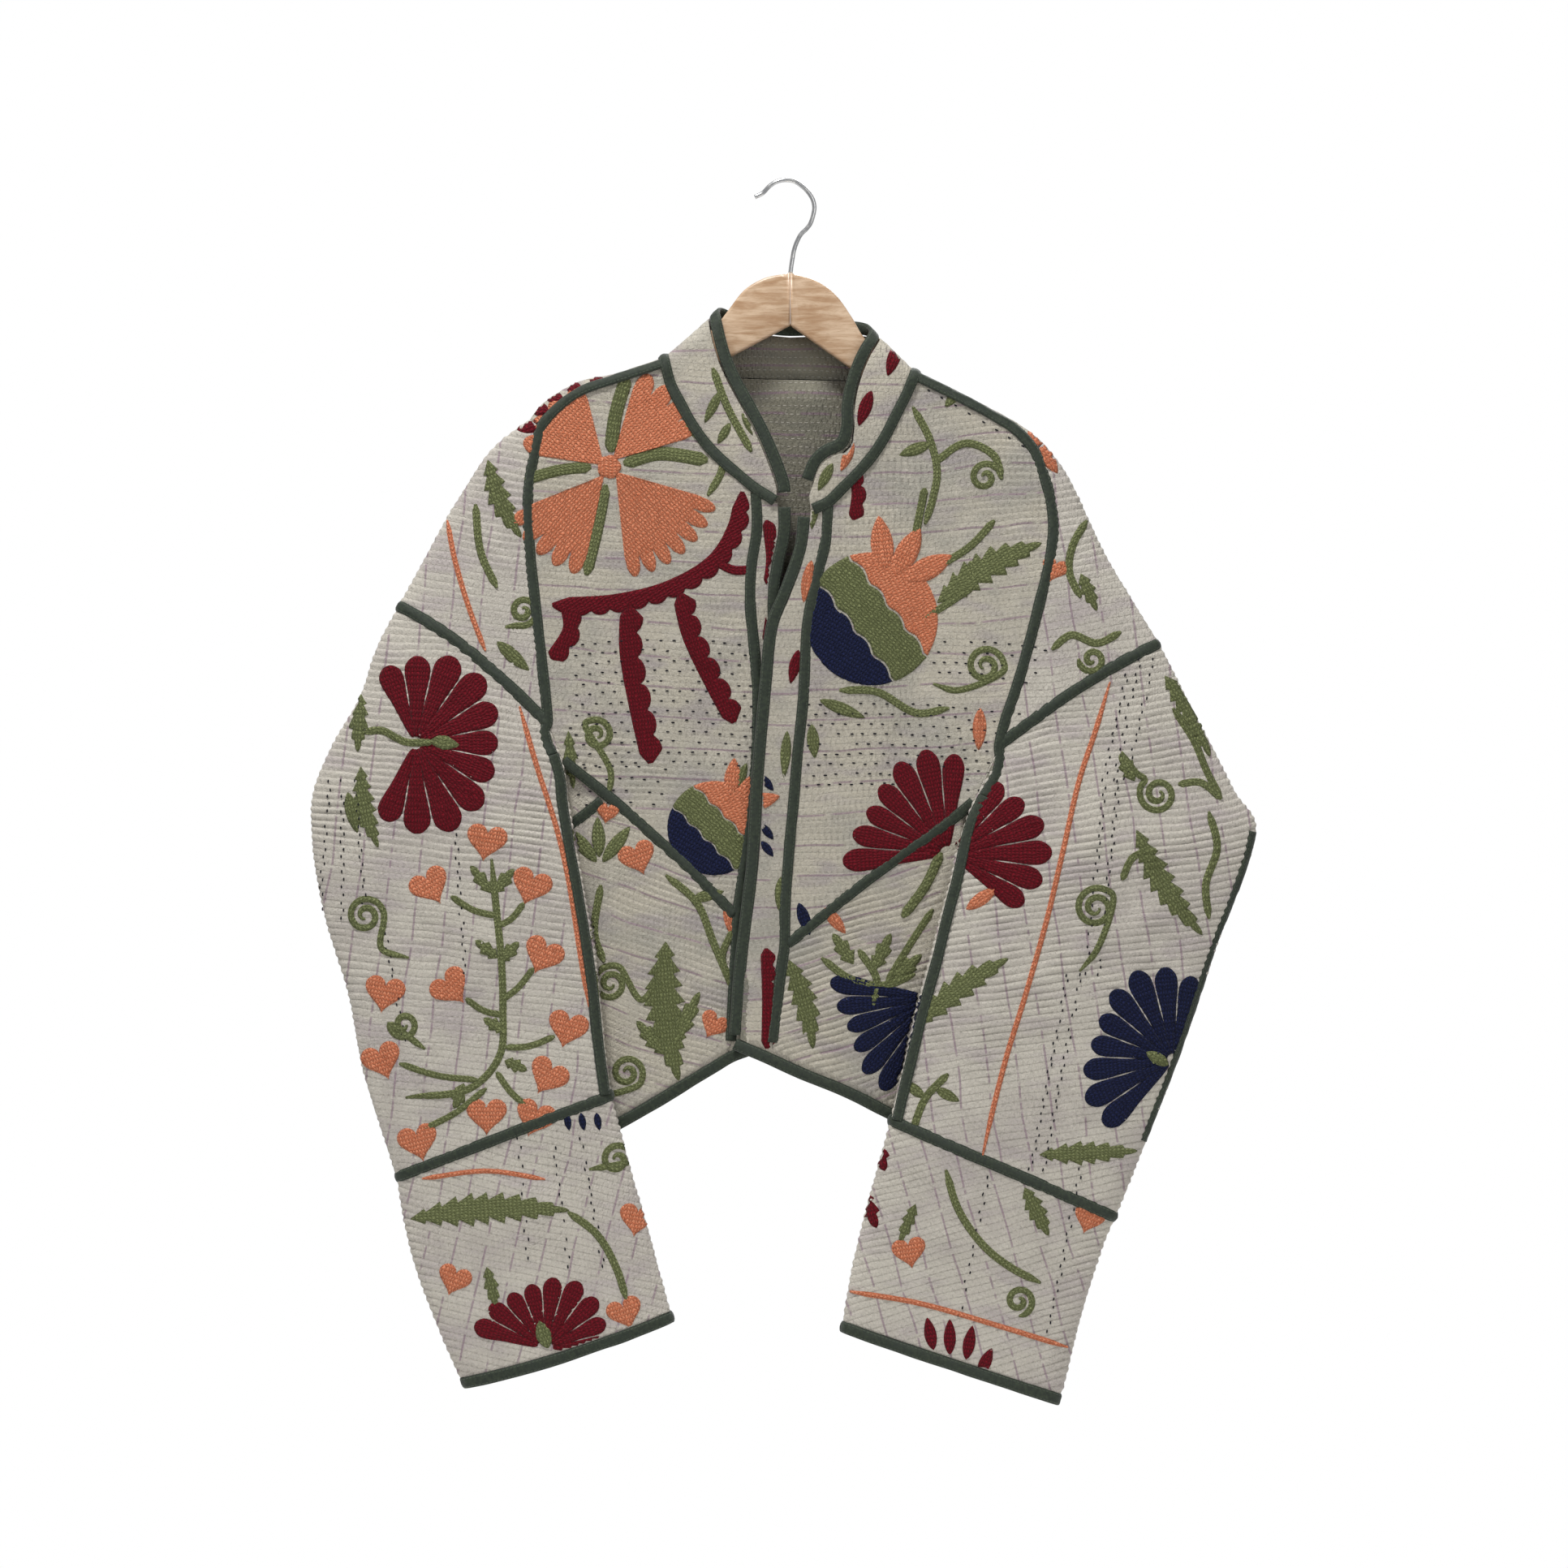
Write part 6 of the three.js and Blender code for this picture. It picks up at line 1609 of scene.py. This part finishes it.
def lower_fronts(g):
    each(heart, g, "coral", (785, 1055, 46, -20), (748, 1000, 28, 10, 0.5), (880, 1262, 37, 30))
    for a, b in (((735, 1062), (700, 1020)), ((738, 1056), (736, 1006)), ((742, 1062), (776, 1018))):
        leaf(g, "olive", a, b, 17)
    each(line, g, "olive", ([(820, 1078), (858, 1112), (880, 1164), (905, 1222)], 9.5),
         ([(905, 1222), (890, 1180), (906, 1140)], 9), ([(740, 1090), (732, 1150), (744, 1186)], 9.5),
         ([(1012, 1180), (1048, 1206), (1090, 1214), (1128, 1200)], 9.5),
         ([(1058, 1170), (1080, 1206), (1076, 1240)], 9.5), ([(1092, 1212), (1120, 1166), (1150, 1120)], 9))
    each(leaf, g, "olive", ((820, 1160), (836, 1332), 44, 9, 9), ((828, 1290), (862, 1222), 22, 4),
         ((820, 1300), (784, 1258), 22, 4), ((852, 1108), (892, 1098), 14),
         ((972, 1182), (1002, 1292), 30, 6, -5), ((1052, 1188), (1026, 1150), 20, 3),
         ((1076, 1196), (1098, 1150), 20, 3), ((1100, 1208), (1136, 1176), 20, 3))
    each(spiral, g, "olive", (752, 1212, 23, 1.8, 10, [(790, 1232), (812, 1206)]),
         (772, 1322, 21, 1.6, 190, [(742, 1352)]), (1040, 1350, 18, 1.4, 60))
    each(leaf, g, "coral", ((892, 1118), (914, 1166), 15), ((1016, 1118), (1042, 1150), 15))
    fan(g, "navy", 1150, 1230, 10, 130, 112, 196, 6, 0.05)
    leaf(g, "navy", (984, 1112), (998, 1152), 15)


def bands(g):
    for y in (965, 1025, 1046):
        leaf(g, "navy", (938, y - 10), (953, y + 9), 10)
    each(scalloped, g, "maroon", ([(944, 1168), (946, 1230), (945, 1292)], 17, 6),
         ([(945, 640), (950, 690), (946, 720)], 15, 3), ([(950, 748), (944, 790)], 13, 2))
    leaf(g, "maroon", (984, 800), (974, 842), 14)
    each(leaf, g, "olive", ((970, 900), (966, 958), 13), ((962, 1080), (960, 1122), 13),
         ((1006, 600), (1000, 652), 13))
    leaf(g, "coral", (1000, 690), (990, 742), 15)


def left_sleeve(g):
    each(line, g, "coral", ([(550, 640), (560, 690), (578, 750), (598, 802)], 6.5),
         ([(640, 870), (662, 945), (686, 1020), (700, 1080), (716, 1180), (726, 1240)], 6.5))
    each(leaf, g, "olive", ((600, 565), (642, 662), 27, 6, 6), ((612, 790), (652, 826), 17),
         ((530, 912), (566, 918), 17, 0, 0, 0.6), ((442, 852), (440, 926), 22, 5),
         ((444, 944), (466, 1044), 25, 7, 6), ((428, 976), (440, 1026), 17), ((700, 900), (706, 972), 16, 4))
    each(spiral, g, "olive", (644, 752, 19, 1.6, 250, [(622, 772)]),
         (450, 1128, 24, 1.8, 90, [(470, 1168), (504, 1180)]), (498, 1262, 18, 1.5, 0, [(524, 1292)]))
    each(line, g, "olive", ([(585, 620), (592, 680), (612, 724)], 9.5),
         ([(534, 914), (500, 914), (470, 900), (446, 902)], 9, 0.6),
         ([(606, 1058), (612, 1120), (618, 1180), (620, 1242), (616, 1300), (580, 1340), (500, 1352)], 9))
    fan(g, "maroon", 512, 915, 8, 118, -122, 122, 11, 0.045)
    for x, y, turn in ((600, 1035, 10), (530, 1090, -30), (655, 1090, 20), (555, 1215, -40),
                       (670, 1175, 25), (700, 1265, 15),
                       (470, 1305, -20), (600, 1372, 0), (515, 1405, -15), (660, 1375, 20), (474, 1222, 10),
                       (676, 1324, 30)):
        heart(g, "coral", x, y, 50, turn)
    for a, b in (((612, 1128), (556, 1104)), ((616, 1140), (646, 1112)), ((620, 1250), (574, 1230)),
                 ((618, 1232), (658, 1192)),
                 ((622, 1290), (684, 1276)), ((600, 1340), (524, 1390)), ((612, 1320), (650, 1362)),
                 ((590, 1330), (492, 1310))):
        line(g, "olive", [a, ((a[0] + b[0]) / 2, (a[1] + b[1]) / 2 + 5), b], 8)
    for a, b in (((606, 1100), (580, 1066)), ((608, 1100), (634, 1070)), ((614, 1180), (586, 1158)),
                 ((616, 1184), (640, 1160)),
                 ((622, 1270), (596, 1254)), ((622, 1306), (650, 1318)), ((572, 1334), (560, 1366))):
        leaf(g, "olive", a, b, 18, 3)
    for x0, x1 in ((404, 372), (420, 400), (437, 428)):
        dash_line(g, (x0, 962), (x1 + 20, 1130), 17, x0)
    dash_line(g, (560, 1020), (572, 1198), 17, 31)
    dash_line(g, (474, 1150), (498, 1290), 17, 32)


def left_cuff(g):
    for x in (698, 716, 735):
        leaf(g, "navy", (x, 1370), (x + 4, 1392), 9)
    spiral(g, "olive", 760, 1428, 20, 1.5, 180, [(726, 1440)])
    each(leaf, g, "olive", ((505, 1502), (702, 1490), 36, 10, -8), ((676, 1660), (664, 1626), 19, 0, 0, 0.5),
         ((600, 1560), (612, 1612), 17, 4))
    fan(g, "maroon", 672, 1660, 10, 92, -172, 6, 9, 0.05)
    each(heart, g, "coral", (785, 1500, 44, 10), (770, 1615, 44, -20), (560, 1575, 42, 20))
    line(g, "olive", [(700, 1492), (736, 1520), (760, 1562), (772, 1600)], 9.5)
    line(g, "coral", [(520, 1452), (600, 1442), (672, 1452)], 6)
    for x, low in ((638, 650), (680, 700), (715, 742)):
        dash_line(g, (x, 1402), (low, 1560), 20, x)


def right_sleeve(g):
    each(line, g, "olive", ([(1340, 640), (1322, 672), (1318, 704), (1332, 736)], 9.5),
         ([(1296, 800), (1320, 782), (1352, 792), (1382, 778)], 9.5),
         ([(1452, 966), (1480, 964), (1506, 984)], 9),
         ([(1506, 984), (1488, 950), (1472, 912), (1446, 872)], 9),
         ([(1382, 1084), (1396, 1056), (1424, 1046)], 9),
         ([(1490, 1000), (1500, 1044), (1486, 1090), (1490, 1132)], 9.5),
         ([(1124, 1392), (1140, 1352), (1168, 1322)], 9.5))
    each(leaf, g, "olive", ((1332, 706), (1352, 752), 18, 4), ((1440, 1312), (1412, 1296), 15, 0, 0, 0.6),
         ((1436, 832), (1492, 932), 29, 7, -6), ((1398, 962), (1380, 928), 20, 3),
         ((1400, 1022), (1482, 1152), 32, 8, 8), ((1130, 1262), (1242, 1180), 32, 7, -6),
         ((1140, 1352), (1112, 1330), 13), ((1152, 1340), (1182, 1356), 13),
         ((1280, 1422), (1402, 1418), 26, 7))
    each(spiral, g, "olive", (1346, 812, 17, 1.4, 40), (1427, 978, 24, 1.8, 300, [(1400, 952), (1382, 926)]),
         (1350, 1118, 26, 1.9, 0, [(1352, 1168), (1330, 1196)]))
    heart(g, "coral", 1300, 700, 33, 20)
    line(g, "coral",
         [(1368, 840), (1350, 900), (1330, 960), (1310, 1045), (1290, 1130), (1264, 1222), (1240, 1300),
          (1222, 1370), (1210, 1424)],
         6.5)
    fan(g, "maroon", 1172, 1052, 10, 124, -64, 44, 6, 0.05)
    fan(g, "navy", 1446, 1306, 8, 120, 128, 292, 9, 0.05)
    leaf(g, "coral", (1190, 1120), (1230, 1092), 16)
    for x0, x1, y0, y1 in ((1420, 1386, 812, 960), (1404, 1372, 812, 960), (1388, 1358, 830, 960),
                           (1376, 1352, 962, 1200), (1360, 1336, 962, 1200),
                           (1330, 1284, 1200, 1440), (1314, 1268, 1200, 1440)):
        dash_line(g, (x0, y0), (x1, y1), 17, x0)


def right_cuff(g):
    each(leaf, g, "maroon", ((1078, 1400), (1090, 1442), 22, 3), ((1062, 1466), (1080, 1512), 22, 3))
    line(g, "olive", [(1165, 1440), (1180, 1488), (1210, 1532), (1244, 1560), (1282, 1580)], 9.5)
    spiral(g, "olive", 1255, 1602, 19, 1.5, 270)
    each(leaf, g, "olive", ((1262, 1462), (1292, 1522), 23, 5), ((1128, 1482), (1108, 1530), 16, 4))
    line(g, "coral", [(1045, 1590), (1130, 1604), (1228, 1632), (1316, 1660)], 6.5)
    for a, b in (((1150, 1662), (1142, 1622)), ((1170, 1668), (1170, 1624)), ((1190, 1674), (1198, 1632)),
                 ((1206, 1694), (1222, 1660))):
        leaf(g, "maroon", a, b, 15)
    each(heart, g, "coral", (1120, 1540, 42, -10), (1342, 1500, 39, 20))
    dash_line(g, (1216, 1450), (1180, 1620), 20, 61)
    dash_line(g, (1330, 1440), (1290, 1640), 20, 62)


def collar_motifs(g):
    line(g, "olive", [(878, 452), (896, 500), (926, 556)], 9.5)
    each(leaf, g, "olive", ((888, 480), (868, 520), 12), ((900, 520), (884, 546), 11),
         ((914, 508), (934, 540), 11), ((1026, 570), (1008, 604), 13))
    each(leaf, g, "maroon", ((1108, 420), (1094, 462), 16), ((1074, 480), (1058, 524), 16))
    leaf(g, "coral", (1052, 545), (1036, 580), 12)


def embroider():
    sleeves = [f"{part}_{side}" for side in ("left", "right") for part in ("cap", "sleeve", "cuff")]
    body = [f"{part}_{side}" for part in ("front_upper", "front_lower", "gusset", "front_band")
            for side in ("left", "right")]
    front = Ground([*body, "back", *sleeves], 1)
    on_sleeves = (left_sleeve, left_cuff, right_sleeve, right_cuff)
    for motifs in (front_left, front_right, lower_fronts, bands, *on_sleeves):
        motifs(front)
    collar_motifs(Ground(["collar"], 1))
    sleeves_behind = Ground(["back", *sleeves], -1, covers=1)
    for motifs in on_sleeves:
        motifs(sleeves_behind)
    back_motifs(Ground(["back"], -1))
    for (sign, colour), (points, faces, uvs, _) in BATCH.items():
        name = f"embroidery_{colour}_{'front' if sign > 0 else 'back'}"
        faces = np.vstack(faces)
        points, uvs = np.vstack(points), np.vstack(uvs)
        used, back_to = np.unique(faces, return_inverse=True)
        piece = make_object(name, points[used], back_to.reshape(-1, 3), THREAD[colour], {"rows": uvs[used]},
                            smooth=colour != "dash")
        dress(piece, "kantha_cloth")


def back_motifs(g):
    """The photograph doesn't show the back, so the front's kinds of motif are set out on it."""
    for x, y in ((760, 620), (1180, 640)):
        fan(g, "coral", x, y, 22, 104, 6, 354, 10, 0.08)
        flower_disc(g, "navy", x, y, 20, 6, 0.6)
    pomegranate(g, 970, 820, 66)
    fan(g, "maroon", 860, 1080, 24, 104, 8, 352, 11, 0.07)
    flower_disc(g, "olive", 860, 1080, 21, 7, 0.5)
    fan(g, "navy", 1110, 1070, 20, 92, 10, 350, 9, 0.09)
    flower_disc(g, "coral", 1110, 1070, 17, 6, 0.5)
    each(scalloped, g, "maroon", ([(900, 560), (900, 640), (870, 700), (800, 740), (720, 745)], 22, 13),
         ([(1040, 560), (1050, 640), (1080, 700), (1140, 750), (1220, 760)], 22, 13))
    each(line, g, "olive", ([(970, 500), (985, 600), (960, 700), (968, 750)], 9.5),
         ([(970, 890), (950, 960), (980, 1040), (965, 1140), (980, 1230)], 9.5))
    for a, b in (((980, 580), (1030, 550)), ((972, 660), (925, 640)), ((955, 960), (905, 940)),
                 ((978, 1040), (1020, 1000)),
                 ((965, 1140), (915, 1160)), ((975, 1180), (1025, 1200)), ((760, 860), (700, 960)),
                 ((1180, 870), (1240, 960))):
        leaf(g, "olive", a, b, 24, 6)
    for x, y in ((700, 800), (1240, 820), (740, 1020), (1200, 1030), (780, 1220), (1160, 1220), (1080, 900),
                 (850, 900)):
        heart(g, "coral", x, y, 31, (x + y) % 50 - 25)
    each(spiral, g, "olive", (690, 1140, 24, 1.8, 30, [(730, 1160)]),
         (1260, 1140, 24, 1.8, 150, [(1220, 1160)]))
    dashes(g, [(650, 780), (1290, 780), (1290, 960), (650, 960)], 15.5, 11.6, 7, 71)


# Lights, floor and world


def make_stage():
    bpy.ops.mesh.primitive_circle_add(vertices=96, radius=1.4, fill_type="NGON", location=(0, 0, -1.32))
    floor = bpy.context.object
    floor.name = "floor"
    n = Nodes("floor")
    colour = n.mix(n.noise(n.here(), 30.0), rgb("f4f3f1"), rgb("fbfbfa"))
    floor.data.materials.append(n.finish(colour, 0.9))
    world = bpy.data.worlds.new("studio")
    world.use_nodes = True
    bpy.context.scene.world = world
    tree = world.node_tree
    background = tree.nodes["Background"]
    background.inputs["Color"].default_value = (1, 1, 1, 1)
    path = tree.nodes.new("ShaderNodeLightPath")
    level = tree.nodes.new("ShaderNodeMapRange")
    level.inputs["To Min"].default_value = WORLD_LIGHT
    level.inputs["To Max"].default_value = 1.0
    tree.links.new(path.outputs["Is Camera Ray"], level.inputs["Value"])
    tree.links.new(level.outputs["Result"], background.inputs["Strength"])
    for name, place, size, power in LIGHTS:
        lamp = bpy.data.lights.new(name, "AREA")
        lamp.size = size
        lamp.energy = power
        piece = bpy.data.objects.new(name, lamp)
        piece.location = place
        piece.rotation_euler = (LIT - Vector(place)).to_track_quat("-Z", "Y").to_euler()
        bpy.context.scene.collection.objects.link(piece)
    bpy.context.scene.view_settings.view_transform = "Standard"


WORLD_LIGHT = 0.4
LIT = Vector((0, 0, -0.48))
LIGHTS = [
    # name   place                size power
    ("key", (-0.8, -1.35, 2.7), 0.5, 105),
    ("fill", (1.8, -3.0, 0.6), 2.0, 16),
    ("rear", (0.6, 3.2, 1.8), 1.6, 60),
]


make_back()
make_collar()
for side in ("left", "right"):
    make_fronts(side)
    make_band(side)
    make_sleeve(side)
    sleeve_bindings(side)
    body_bindings(side)
    make_arm(side)
neck_bindings()
back_hem_binding()
make_hook()
embroider()
make_stage()
